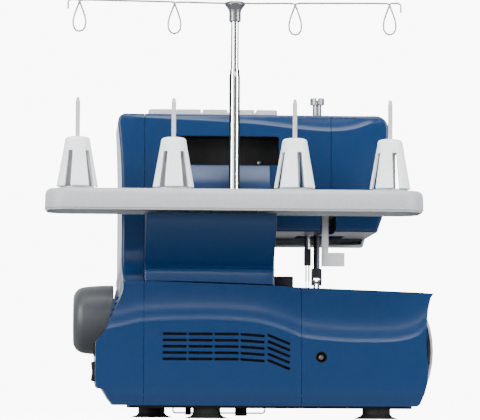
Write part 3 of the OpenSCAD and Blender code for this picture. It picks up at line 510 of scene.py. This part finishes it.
WALL = 2.5  # thickness of the casing
GAP = 0.2  # half the width of a seam
(HEAD_LEFT, FRONT_SPLIT, ARM_BOTTOM), (_, ARM_REAR, CASE_TOP) = edges("head_cover")
(BASE_END, BASE_FRONT, BASE_BOTTOM), (_, BASE_REAR, _) = edges("left_cover")
COLUMN_RIGHT = edges("stitch_length_dial")[1][0] - 11
COLUMN_LEFT = -28.5
SEAM_RIGHT, SEAM_BASE, SEAM_HEAD = 100.0, -54.0, -84.0
SWELL_RIGHT = edges("right_cover")[1][0]
BED_TOP = edges("cloth_plate")[1][2]
BED_STEP = BED_TOP + 9.2  # top of the base where it meets the column
TRAY_LOW, TRAY_HIGH = edges("spool_tray")
TRAY_X, TRAY_Y = (TRAY_LOW[0] + TRAY_HIGH[0]) / 2, (TRAY_LOW[1] + TRAY_HIGH[1]) / 2

GRIP = ((-32.6, 249), (72, 277.7))  # opening of the carrying grip, as (X, Z) corners
COVER_SCREW_X, COVER_SCREW_Z = -73.1, 60.1
SHAFT_Y, SHAFT_Z = -7, 97
DIAL_Y, DIAL_HEIGHTS = -66, (46, 88)
INLET_OPENING = ((46, 34), (60, 56.5))  # as (Y, Z) corners in the swollen corner's side
SWITCH_OPENING = ((42, 59.5), (64, 73.5))

# The scooped band along the top of the rear face: its lower edge as (X, Z), how far it is set back and how
# softly. The crease across the base likewise. Each row is the level that is led onto its line.
BAND_ROW, BAND_DEPTH, BAND_EASE = 290.0, 4.2, 6.0
BAND_LINE = [(-138, 296), (-125, 292), (-106, 285.6), (-83, 283.2), (-50, 285.4), (-4, 290.3), (98, 295.2),
             (127, 296.2)]
BAND_GRID = (-2.5, -0.7, 0, 0.5, 1.2, 2.2, 3.6, 5.2)
CREASE_ROW, CREASE_DEPTH, CREASE_EASE = 84.5, 7.3, 12.0
CREASE_LINE = [(-189, 101), (-175, 87.3), (-167, 81), (-147, 75.8), (-116, 74.7), (-92, 75.2), (-54, 79.2),
               (-37.5, 85.4), (-24, 90), (-5, 94), (40, 96.1), (100.8, 93.8), (118, 90), (146, 84)]
CREASE_GRID = (-1.5, -0.4, 0.5, 1.4, 2.6)


def lead_row(v, row, line, low, high, rearness):
    """Slides a vertex up or down so that one grid row lies along a line."""
    span = (v.co.z - low) / (row - low) if v.co.z < row else (high - v.co.z) / (high - row)
    v.co.z += (follow(line, v.co.x) - row) * min(max(span, 0.0), 1.0) * rearness


def shape_arm_rear(bm):
    """Scoops the band along the top of the rear face, and drafts the handwheel side."""
    for v in bm.verts:
        rearness = ease((v.co.y - (ARM_REAR - 12)) / 10)
        rearness *= ease((v.co.x - (HEAD_LEFT + 3)) / 18) * ease((COLUMN_RIGHT - 2 - v.co.x) / 16)
        lead_row(v, BAND_ROW, BAND_LINE, BAND_ROW - 28, CASE_TOP - 2, rearness)
        above = v.co.z - follow(BAND_LINE, v.co.x)
        if above > 0:
            v.co.y -= rearness * BAND_DEPTH * (1 - math.exp(-above / BAND_EASE))
        depth = (v.co.y - FRONT_SPLIT) / (ARM_REAR - FRONT_SPLIT)
        side = ease((v.co.x - (COLUMN_RIGHT - 16)) / 14)
        v.co.x -= depth * side * follow([(184, 3.1), (248, 2.4), (290, 0.5)], v.co.z)


def sweep_to_base(bm):
    """Runs the column's rear face out to the base in a hollow curve."""
    for v in bm.verts:
        fall = min(max((178 - v.co.z) / 44, 0.0), 1.0)
        rearness = ease((v.co.y - (ARM_REAR - 30)) / 30)
        v.co.y += rearness * 18.5 * (1 - math.sqrt(1 - fall * fall))
        side = fall * fall * ease((v.co.x - (COLUMN_RIGHT - 14)) / 11)
        back = ease((v.co.y - 38) / 24)
        v.co.x += side * (4.6 * ease((v.co.y - 10) / 24) * (1 - back) - 1.3 * back)


def shape_base_rear(bm):
    """Sets the rear face back above the crease, and tucks it in at the bottom."""
    for v in bm.verts:
        rearness = ease((v.co.y - (BASE_REAR - 20)) / 16)
        lead_row(v, CREASE_ROW, CREASE_LINE, 22, BED_TOP, rearness)
        above = v.co.z - follow(CREASE_LINE, v.co.x)
        if above > 0:
            v.co.y -= rearness * CREASE_DEPTH * (1 - math.exp(-above / CREASE_EASE))
        v.co.y -= rearness * 2.5 * ease((28 - v.co.z) / 16)


def add_rows(bm, row, offsets):
    """Divides a shell at levels close to a row, so that a soft edge can bend there."""
    for offset in offsets:
        cut_at(bm, (0, 0, row + offset), (0, 0, 1))


def drop_faces(bm, test):
    bmesh.ops.delete(bm, geom=[f for f in bm.faces if test(f)], context="FACES")


def open_bottom(bm):
    drop_faces(bm, lambda f: f.calc_center_median().z < BASE_BOTTOM + 0.1 and abs(f.normal.z) > 0.9)


def split_at_seams(bm, left_seam):
    """The right, centre and left parts of a shell, cut along its upright seams."""
    parts = []
    for low, high in ((SEAM_RIGHT, None), (left_seam, SEAM_RIGHT), (None, left_seam)):
        part = bm.copy()
        if low is not None:
            cut_at(part, (low + GAP, 0, 0), (-1, 0, 0), True)
        if high is not None:
            cut_at(part, (high - GAP, 0, 0), (1, 0, 0), True)
        parts.append(part)
    bm.free()
    return parts


def make_arm_shells():
    """The upper casing, cut into the right, centre and head parts."""
    outline = ([(HEAD_LEFT + 11, ARM_BOTTOM), (COLUMN_LEFT, ARM_BOTTOM), (COLUMN_LEFT, BED_TOP + 4.5),
                (COLUMN_RIGHT, BED_TOP + 4.5), (COLUMN_RIGHT, 235), (COLUMN_RIGHT + 0.8, 265)]
               + arc(COLUMN_RIGHT - 6, CASE_TOP - 8, 8, 0, 90)
               + arc(HEAD_LEFT + 13, CASE_TOP - 13, 13, 90, 180)
               + [(HEAD_LEFT + 1, ARM_BOTTOM + 31), (HEAD_LEFT + 6, ARM_BOTTOM + 14)])
    bm = rear_slab(outline, FRONT_SPLIT, ARM_REAR, roll=3)
    add_rows(bm, BAND_ROW, BAND_GRID)
    shape_arm_rear(bm)
    drop_faces(bm, lambda f: f.calc_center_median().z < BED_TOP + 4.6)
    right, centre, head = split_at_seams(bm, SEAM_HEAD)
    sweep_to_base(right)
    return right, centre, head


def make_base_shells():
    """The base housing, cut into the right, centre and left parts."""
    # the left end from the top down, as (distance from its tip, Z)
    end = [(0, BED_TOP - 1.8), (2.2, 119.5), (3.5, 116.6), (5.9, 104.8), (7.9, 87.3), (8.3, 72.6), (7.8, 58),
           (6.3, 48.3), (7.3, 33.7), (10.2, 24), (14.1, 15)]
    outline = [(BASE_END + 16.7, BASE_BOTTOM), (COLUMN_RIGHT, BASE_BOTTOM), (COLUMN_RIGHT, BED_STEP),
               (SEAM_RIGHT, BED_STEP), (COLUMN_LEFT, BED_TOP + 5.2), (SEAM_BASE, BED_TOP + 3.7),
               (-120, BED_TOP + 1.5), (BASE_END + 13, BED_TOP - 0.4)] + [(BASE_END + x, z) for x, z in end]
    bm = rear_slab(outline, BASE_FRONT, BASE_REAR, roll=4, step=4.0)
    add_rows(bm, CREASE_ROW, CREASE_GRID)
    shape_base_rear(bm)
    open_bottom(bm)
    right, centre, left = split_at_seams(bm, SEAM_BASE)
    cut_at(right, (0, 38, 0), (0, 1, 0), True)  # behind this the swollen corner takes over
    return right, centre, left


def make_side_swell():
    """The swollen rear corner on the handwheel side, which carries the vents, inlet and switch."""
    left, right, front = SEAM_RIGHT + GAP, SWELL_RIGHT, 36
    # the side from the bottom up, as (Z, X)
    side = [(BASE_BOTTOM, right - 17.7), (19, right - 12.4), (24, right - 9.4), (28, right - 7),
            (29, right - 2.4), (31, right - 1), (36, right), (72, right), (74.6, right - 0.8),
            (76, right - 2.3), (80.4, right - 6.1), (85.5, right - 10), (95, right - 13), (105, right - 16),
            (114.5, right - 18.6), (126, COLUMN_RIGHT + 2), (BED_STEP, COLUMN_RIGHT + 0.6)]
    outline = [(left, BASE_BOTTOM)] + [(x, z) for z, x in side] + [(left, BED_STEP)]
    bm = rear_slab(outline, front, BASE_REAR, roll=3, step=4.0, open_front=False)
    add_rows(bm, CREASE_ROW, CREASE_GRID)
    # how far the side draws in at the rear, by height
    draft = [(30, 1.4), (74, 1.4), (80, 1.6), (100, 4.2), (115, 6.4), (126, 6.8), (133.7, 5.2)]
    for v in bm.verts:
        near = ease((v.co.x - (follow(side, v.co.z) - 18)) / 16)
        v.co.x -= (v.co.y - front) / (BASE_REAR - front) * near * follow(draft, v.co.z)
    shape_base_rear(bm)
    drop_faces(bm, lambda f: f.normal.x < -0.9 and f.calc_center_median().x < left + 0.1)
    open_bottom(bm)
    return bm


def make_saddle():
    """The block that carries the spool tray: wide and receding, with a ledge where it meets the base."""
    # (Z, rear face Y, how far each side draws in)
    levels = [(133.9, 71.8, 0.3), (136, 71.6, 0), (141, 71.1, 0), (143.2, 70.7, 0), (145.4, 70.1, 0),
              (146.3, 69.4, 0), (146.9, 68.1, 0), (147.1, 66.2, 0), (147.4, 64.8, 0), (148.8, 65.0, 0),
              (151, 67, 0), (156, 73, 0), (163, 81.4, 0), (171, 91, 0), (178, 99.4, 0), (184, 106.4, 0),
              (187.6, 110.2, 0), (189, 111.2, 0), (190.4, 111.6, 0), (198.1, 111.9, 0)]
    front, corner, columns = 46, 1.6, 8
    rings = []
    for z, rear, inset in levels:
        low, high = COLUMN_LEFT + 1.5 + inset, SEAM_RIGHT - GAP - inset
        ring = [(high, front), (low, front)]
        ring += arc(low + corner, rear - corner, corner, 180, 90, 4)
        ring += [(low + (high - low) * k / columns, rear) for k in range(1, columns)]
        ring += arc(high - corner, rear - corner, corner, 90, 0, 4)
        # the ledge falls gently towards the throat
        drop = 3.0 * ease((146 - z) / 3)
        rings.append([(x, y, z - drop * ((SEAM_RIGHT - x) / 125) ** 2) for x, y in ring])
    return section_loft(rings)


def make_ramp():
    """The slope from the grip down to the spool tray."""
    profile = [(46, 249), (ARM_REAR, 249), (ARM_REAR + 1.2, 248), (66, 226), (66, TRAY_LOW[2] - 0.5),
               (46, TRAY_LOW[2] - 0.5)]
    return section_loft([[(x, y, z) for y, z in profile] for x in (-23, -22.4, 0, 24, 48, 73.4, 74)])


def grip_cutter():
    (x0, z0), (x1, z1) = GRIP
    outline = arc(x1 - 3, z1 - 3, 3, 0, 90) + arc(x0 + 3, z1 - 3, 3, 90, 180) + [(x0, z0), (x1, z0)]
    return as_object(draw_along_y(outline, ARM_REAR - 29, ARM_REAR + 8), "cutter")


def vent_cutters():
    """Five rows of slots; the rows run level, then bend down over the last two columns."""
    half, radius, pitch, top = 10.6, 1.35, 6.1, 82.1
    slot = draw_along_y(arc(half, 0, radius, -90, 90, 5) + arc(-half, 0, radius, 90, 270, 5), -14, 12)
    columns = [(-31.6, 5.0, 22), (-6.0, 0.9, 4), (19.4, 0, 0), (44.6, 0, 0), (69.8, 0, 0)]  # X, drop, tilt
    places = [(x, BASE_REAR, top - pitch * row - drop) for row in range(5) for x, drop, _ in columns]
    tilts = [-tilt for _ in range(5) for _, _, tilt in columns]
    return set_out(as_object(slot, "slot"), places, tilts, "vents", FINISH["blue_plastic"])


def side_vent_cutters():
    """Five slots that climb the shoulder of the swollen corner."""
    slot = block((-14, -7, -1.0), (6, 7, 1.0))
    places = [(SWELL_RIGHT - 9.2 - 1.65 * i, 55, 92 + 5.5 * i) for i in range(5)]
    return set_out(as_object(slot, "side_slot"), places, [24] * 5, "side_vents", FINISH["blue_plastic"])


def box_cutter(low, high):
    return as_object(block(low, high), "cutter")


def hole_cutter(axis, radius, length, place):
    half = length / 2
    rod = [(0, -half), (radius, -half), (radius, half), (0, half)]
    return as_object(lathe(rod, place, axis, 40), "cutter")


def side_opening(corners):
    """A cutter through the swollen corner's side, from (Y, Z) corners."""
    (y0, z0), (y1, z1) = corners
    return box_cutter((SWELL_RIGHT - 4.7, y0, z0), (SWELL_RIGHT + 5.3, y1, z1))


def walled(bm, name, *cutters):
    """A casing part: a shell given its wall, with openings cut through it."""
    piece = as_object(bm, name)
    give_wall(piece, WALL)
    if cutters:
        carve(piece, list(cutters), folded=True)
    return piece


def make_casing():
    """The four blue covers, each standing for its CAD node."""
    arm_right, arm_centre, arm_head = make_arm_shells()
    base_right, base_centre, base_left = make_base_shells()
    bed = ((BASE_END + WALL, BASE_FRONT - 3, BED_TOP - 3.3), (COLUMN_LEFT, 14.3, BED_TOP + 12))
    step = ((COLUMN_LEFT - 1, BASE_FRONT - 3, BED_TOP + 2.7), (COLUMN_RIGHT + 1, FRONT_SPLIT, BED_TOP + 14))
    bars_way = ((-104, -70, ARM_BOTTOM - 4), (-56, -20, ARM_BOTTOM + 3.5))
    lever_way = ((-89, 5, ARM_BOTTOM - 4), (-74, ARM_REAR + 2, ARM_BOTTOM + 20))
    side = COLUMN_RIGHT + 1
    centre = [
        walled(arm_centre, "arm_centre", grip_cutter(), box_cutter(*bars_way), box_cutter(*lever_way),
               hole_cutter("Z", 5.2, 12, (-77, -37, CASE_TOP))),
        walled(base_centre, "base_centre", vent_cutters(), box_cutter(*bed), box_cutter(*step)),
        as_object(make_saddle(), "saddle"),
        as_object(make_ramp(), "ramp"),
    ]
    fit(join(centre, "centre_casing"), "machine", "blue_plastic", ["rear_cover"])
    dial_holes = [hole_cutter("X", 4.1, 20, (side, DIAL_Y, z)) for z in DIAL_HEIGHTS]
    right = [
        walled(arm_right, "arm_right"),
        walled(base_right, "base_right", hole_cutter("X", 13, 20, (side, SHAFT_Y, SHAFT_Z)),
               box_cutter(*step), *dial_holes),
        walled(make_side_swell(), "swell", side_vent_cutters(), side_opening(INLET_OPENING),
               side_opening(SWITCH_OPENING)),
    ]
    fit(join(right, "right_casing"), "machine", "blue_plastic", ["right_cover"])
    head = walled(arm_head, "head_casing", box_cutter(*bars_way), box_cutter(*lever_way))
    fit(head, "machine", "blue_plastic", ["head_cover"])
    left = walled(base_left, "left_casing", box_cutter(*bed),
                  hole_cutter("Y", 5.6, 30, (COVER_SCREW_X, BASE_REAR, COVER_SCREW_Z)))
    fit(left, "machine", "blue_plastic", ["left_cover"])


def make_grip_pocket():
    """The dark lining of the carrying grip."""
    (x0, z0), (x1, z1) = GRIP
    y0, y1 = ARM_REAR - 28.5, ARM_REAR - 2.2
    inner = [(x0 + 0.4, z0 + 0.4), (x1 - 0.4, z0 + 0.4), (x1 - 0.4, z1 - 0.4), (x0 + 0.4, z1 - 0.4)]
    outer = [(x0 - 1, z0 - 1), (x1 + 1, z0 - 1), (x1 + 1, z1 + 1), (x0 - 1, z1 + 1)]
    rings = [[(x, y, z) for x, z in ring] for ring, y in
             ((outer, y0 - 1.5), (outer, y1), (inner, y1), (inner, y0))]
    fit(as_object(section_loft(rings), "grip_pocket"), "machine", "black_plastic")


def screw_template(radius, head):
    """A cross-slotted pan head that faces +Y, at the origin."""
    dome = [(0, -3), (radius * 0.6, -3), (radius, -0.4), (radius * 0.98, 0.2), (radius * 0.72, head * 0.8),
            (radius * 0.3, head), (0, head)]
    piece = as_object(lathe(dome, (0, 0, 0), "Y", 32), "screw")
    arm, width = radius * 0.58, radius * 0.16
    carve(piece, [box_cutter((-arm, head * 0.3, -width), (arm, head + 1, width)),
                  box_cutter((-width, head * 0.3, -arm), (width, head + 1, arm))])
    return piece


def black_strips(boxes, name):
    """A black piece on the machine, made of plain boxes; it serves for mouldings and for the sheet of painted
    shade behind the vents.
    """
    fit(join([as_object(block(low, high), "strip") for low, high in boxes], name), "machine", "black_plastic")


def make_seam_laps():
    """The lapped strips behind the base's two upright seams, each on a web from the rear wall."""
    boxes = []
    for x, top in ((SEAM_RIGHT - 4, BED_TOP + 5), (SEAM_BASE - 4, BED_TOP + 0.4)):
        boxes.append(((x, BASE_REAR - 13.5, 24), (x + 8, BASE_REAR - 12, top)))
        boxes.append(((x, BASE_REAR - 12.2, 26), (x + 1.2, BASE_REAR - 2.4, 72)))
    black_strips(boxes, "seam_laps")


def make_pan_rim():
    """The lip that closes the gap between the base pan and the housing."""
    low, high = edges("base_pan")
    z0, z1 = BASE_BOTTOM + 3.1, BASE_BOTTOM + 4.3
    left, right, front, split = BASE_END + 18.4, COLUMN_RIGHT - 3.4, BASE_FRONT + 4, 54
    black_strips([((left, split, z0), (right, BASE_REAR - 7, z1)),
                  ((left, front, z0), (low[0] + 3.6, split, z1)),
                  ((high[0] - 7, front, z0), (right, split, z1))], "pan_rim")


def make_vent_shade_sheet():
    """A black sheet on ribs behind the vents: painted shade standing in for the dark inside of the base."""
    boxes = [((-48, BASE_REAR - 7.4, 50), (84, BASE_REAR - 6.2, 91))]
    for x in (-46, -19.9, 5.6, 30.6, 55.8, 81):
        boxes.append(((x, BASE_REAR - 6.4, 52), (x + 1.2, BASE_REAR - 2.4, 88)))
    black_strips(boxes, "vent_screen")


def make_rear_screws():
    """The cover screw in its cup, and the small screw on the grip pocket's floor."""
    cover_screw = set_out(screw_template(3.3, 1.3), [(COVER_SCREW_X, BASE_REAR - 4.6, COVER_SCREW_Z)], [18],
                          "cover_screw", FINISH["steel"])
    fit(cover_screw, "machine", "steel", finish=ZINC)
    cup = lathe([(0, -9), (5.5, -9), (5.5, -0.7), (4.7, -0.7), (4.7, -7.8), (0, -7.8)],
                (COVER_SCREW_X, BASE_REAR, COVER_SCREW_Z), "Y", 40)
    fit(as_object(cup, "screw_cup"), "machine", "black_plastic")
    grip_screw = set_out(screw_template(2.4, 1.0), [(-15, ARM_REAR - 27.6, 253.5)], [40], "grip_screw",
                         FINISH["steel"])
    fit(grip_screw, "machine", "steel", finish=ZINC)


# ---------- spool stand ----------
CONE_LEGS = 5
CONE_TURNS = {1: 8, 2: 0, 3: -20, 4: -24}  # each cone stands a little differently on its pin


def make_cone(index):
    """A cone holder: five legs that spread from a round shoulder, around a sleeve."""
    node = f"cone_holder_{index}"
    low, high = edges(node)
    x, y, foot, height = (low[0] + high[0]) / 2, TRAY_Y, low[2], high[2] - low[2]
    radius = (high[1] - low[1]) / 2
    skin = [(radius - 1.9, 0), (radius - 0.5, 0), (radius, 0.5), (radius - 0.2, 1.6)]
    skin += [(radius - 0.2 - (radius - 12.4) * t, 1.6 + (height - 6) * t) for t in (0.25, 0.5, 0.75, 1.0)]
    skin += [(12.1, height - 3), (11.2, height - 1.4), (9.6, height - 0.4), (7.4, height), (3.4, height),
             (3.4, height - 3.2), (9.6, height - 3.4)]
    skin.append((radius - 2.1, 1.6))
    cone = as_object(lathe(skin, (x, y, foot), "Z", 100), "cone")
    cutters = []
    for k in range(CONE_LEGS):
        angle = math.radians(360 / CONE_LEGS * k + 54 + CONE_TURNS[index])
        slot = block((6, -3.3, -1), (radius + 2, 3.3, height - 14))
        for v in slot.verts:
            if v.co.z > 0:
                v.co.y *= 0.74
        slot.transform(Matrix.Translation((x, y, foot)) @ Matrix.Rotation(angle, 4, "Z"))
        cutters.append(as_object(slot, "cutter"))
    carve(cone, cutters)
    sleeve = lathe([(3.4, 0.5), (5.4, 0.5), (4.9, height - 3), (3.4, height - 3)], (x, y, foot), "Z", 40)
    whole = join([cone, as_object(sleeve, "sleeve")], f"spool_cone_{index}")
    round_edges(whole, 0.35, 45)
    fit(whole, node, "white_plastic", [node])


def make_tray():
    """The spool tray: a thick slab with a rolled top edge and a step round its foot."""
    half_x, half_y = (TRAY_HIGH[0] - TRAY_LOW[0]) / 2, (TRAY_HIGH[1] - TRAY_LOW[1]) / 2
    top, bottom, corner = TRAY_HIGH[2], TRAY_LOW[2], 24

    def ring(inset, z):
        r = max(corner - inset, 2)
        a, b = half_x - inset - r, half_y - inset - r
        points = []
        for cx, cy, start in ((a, b, 0), (-a, b, 90), (-a, -b, 180), (a, -b, 270)):
            points += arc(TRAY_X + cx, TRAY_Y + cy, r, start, start + 90, 10)
        return [(x, y, z) for x, y in points]

    levels = [(3.0, top - 3), (3.0, bottom + 0.2), (1.6, bottom), (1.1, bottom + 0.4), (1.1, bottom + 1.8),
              (0.1, bottom + 2.1), (0, bottom + 2.6), (0.3, top - 6), (0.9, top - 3.4), (2.2, top - 1.3),
              (4.2, top - 0.25), (6.5, top)]
    tray = as_object(section_loft([ring(*level) for level in levels]), "tray")
    carve(tray, [hole_cutter("Z", 5.7, 30, (TRAY_X, TRAY_Y, top))])
    fit(tray, "machine", "grey_plastic", ["spool_tray"])


def soften(node, width):
    """A copy of a CAD node with its edges broken, in the node's own finish."""
    source = nodes[node]
    bm = bmesh.new()
    bm.from_mesh(source.data)
    bmesh.ops.remove_doubles(bm, verts=bm.verts[:], dist=1e-6)
    bmesh.ops.dissolve_limit(bm, angle_limit=math.radians(1), verts=bm.verts[:], edges=bm.edges[:])
    piece = keep(bm, node + "_softened")
    round_edges(piece, width)
    fit(piece, source["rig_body"], SLOT[node], [node])


def make_handwheel():
    """A drum with a domed outer face and a hollow inner one."""
    low, high = edges("handwheel")
    width, radius = high[0] - low[0], (high[2] - low[2]) / 2
    profile = [(0, 8), (12, 8), (12, 14), (radius - 10, 14), (radius - 3.5, 0.4), (radius - 0.6, 0),
               (radius, 0.7)]
    profile += [(radius - 0.0022 * t * t, t) for t in (4, 8, 12, 16, 20, 24, 27)]
    profile += [(r, h) for r, h in arc(radius - 14, width - 12.4, 12.2, 6, 90, 10)]
    profile += [(12, width), (10, width - 0.8), (0, width - 1.4)]
    middle = (low[0], (low[1] + high[1]) / 2, (low[2] + high[2]) / 2)
    wheel = as_object(lathe(profile, middle, "X", 120), "wheel")
    fit(wheel, "main_shaft", "grey_plastic", ["handwheel"], WHEEL_GREY)


make_casing()
make_grip_pocket()
make_pan_rim()
make_vent_shade_sheet()
# the black sheet behind the vents is painted shade for the inside of the base
make_seam_laps()
make_rear_screws()
for number in range(1, 5):
    make_cone(number)
make_tray()
make_handwheel()
# Covers and castings whose edges are broken, with the width of the break
SOFTENED = {"front_panel": 1.6, "looper_cover": 0.8, "top_thread_guide": 1.2, "cloth_plate": 0.5,
            "base_pan": 0.6, "presser_lifter": 1.0, "upper_knife": 0.6, "power_switch": 0.5,
            "stitch_length_dial": 1.0, "differential_dial": 1.0, "frame_casting": 1.0}
for name, width in SOFTENED.items():
    soften(name, width)


# ---------- stage, light and camera ----------
def add_area_light(name, place, aim, size, watts):
    lamp = bpy.data.lights.new(name, "AREA")
    lamp.shape = "RECTANGLE"
    lamp.size, lamp.size_y = size
    lamp.energy = watts
    holder = new_object(name, lamp)
    holder.location = place
    holder.rotation_euler = (Vector(aim) - Vector(place)).to_track_quat("-Z", "Y").to_euler()


def seen_directly(tree, socket, strength, otherwise):
    """Drives a socket with one strength for what the camera sees and another for everything else."""
    to_camera = tree.nodes.new("ShaderNodeLightPath").outputs["Is Camera Ray"]
    tree.links.new(remap(tree, to_camera, 0.0, 1.0, otherwise, strength), socket)


def add_floor(reach=6.0):
    mesh = bpy.data.meshes.new("floor")
    corners = [(-reach, -reach, 0), (reach, -reach, 0), (reach, reach, 0), (-reach, reach, 0)]
    mesh.from_pydata(corners, [], [(0, 1, 2, 3)])
    paper = plastic("pale_floor", (0.34, 0.34, 0.34), 0.7)
    shader = paper.node_tree.nodes["Principled BSDF"]
    shader.inputs["Emission Color"].default_value = (1, 1, 1, 1)
    seen_directly(paper.node_tree, shader.inputs["Emission Strength"], 9.0, 0.0)
    mesh.materials.append(paper)
    new_object("floor", mesh)


def add_world():
    """A white surround that lights the machine mostly from beyond it, on the side away from the camera."""
    world = bpy.data.worlds.new("studio")
    bpy.context.scene.world = world
    world.use_nodes = True
    tree = world.node_tree
    background = tree.nodes["Background"]
    background.inputs["Color"].default_value = (1, 1, 1, 1)
    axes = tree.nodes.new("ShaderNodeSeparateXYZ")
    tree.links.new(tree.nodes.new("ShaderNodeTexCoord").outputs["Generated"], axes.inputs["Vector"])
    beyond = remap(tree, axes.outputs["Y"], -0.15, -0.9, 0.22, 2.6)
    seen_directly(tree, background.inputs["Strength"], 9.5, beyond)


def add_camera():
    """Looks at the machine from behind, from table level, through a long lens."""
    azimuth, distance, height, aside = math.radians(177), 2.95, 0.015, 0.003
    pitch, roll = math.radians(3.747), math.radians(0.3)
    back = Vector((math.sin(azimuth), -math.cos(azimuth), 0))
    forward = -back * math.cos(pitch) + Vector((0, 0, math.sin(pitch)))
    right = forward.cross(Vector((0, 0, 1))).normalized()
    up = right.cross(forward)
    rolled_right = right * math.cos(roll) + up * math.sin(roll)
    rolled_up = up * math.cos(roll) - right * math.sin(roll)
    lens = bpy.data.cameras.new("camera")
    lens.sensor_width = 36
    lens.lens = 221.25
    camera = new_object("camera", lens)
    turn = Matrix((rolled_right, rolled_up, -forward)).transposed().to_4x4()
    camera.matrix_world = Matrix.Translation(back * distance + Vector((aside, 0, height))) @ turn
    bpy.context.scene.camera = camera


# Name, place, aim, size and watts
LIGHTS = [
    ("left_panel", (1.7, 1.2, 0.8), (0, 0, 0.15), (0.7, 1.4), 70),
    ("right_panel", (-1.7, 1.2, 0.8), (0, 0, 0.15), (0.7, 1.4), 66),
    ("top_panel", (0, 0.75, 1.8), (0, 0, 0.2), (1.8, 1.1), 60),
    ("high_panel", (0, 3.2, 1.5), (0, 0, 0.15), (1.6, 0.35), 14),
    ("tall_strip", (1.25, 2.9, 0.5), (0, 0, 0.25), (0.25, 1.6), 16),
]
add_floor()
add_world()
add_camera()
for light in LIGHTS:
    add_area_light(*light)
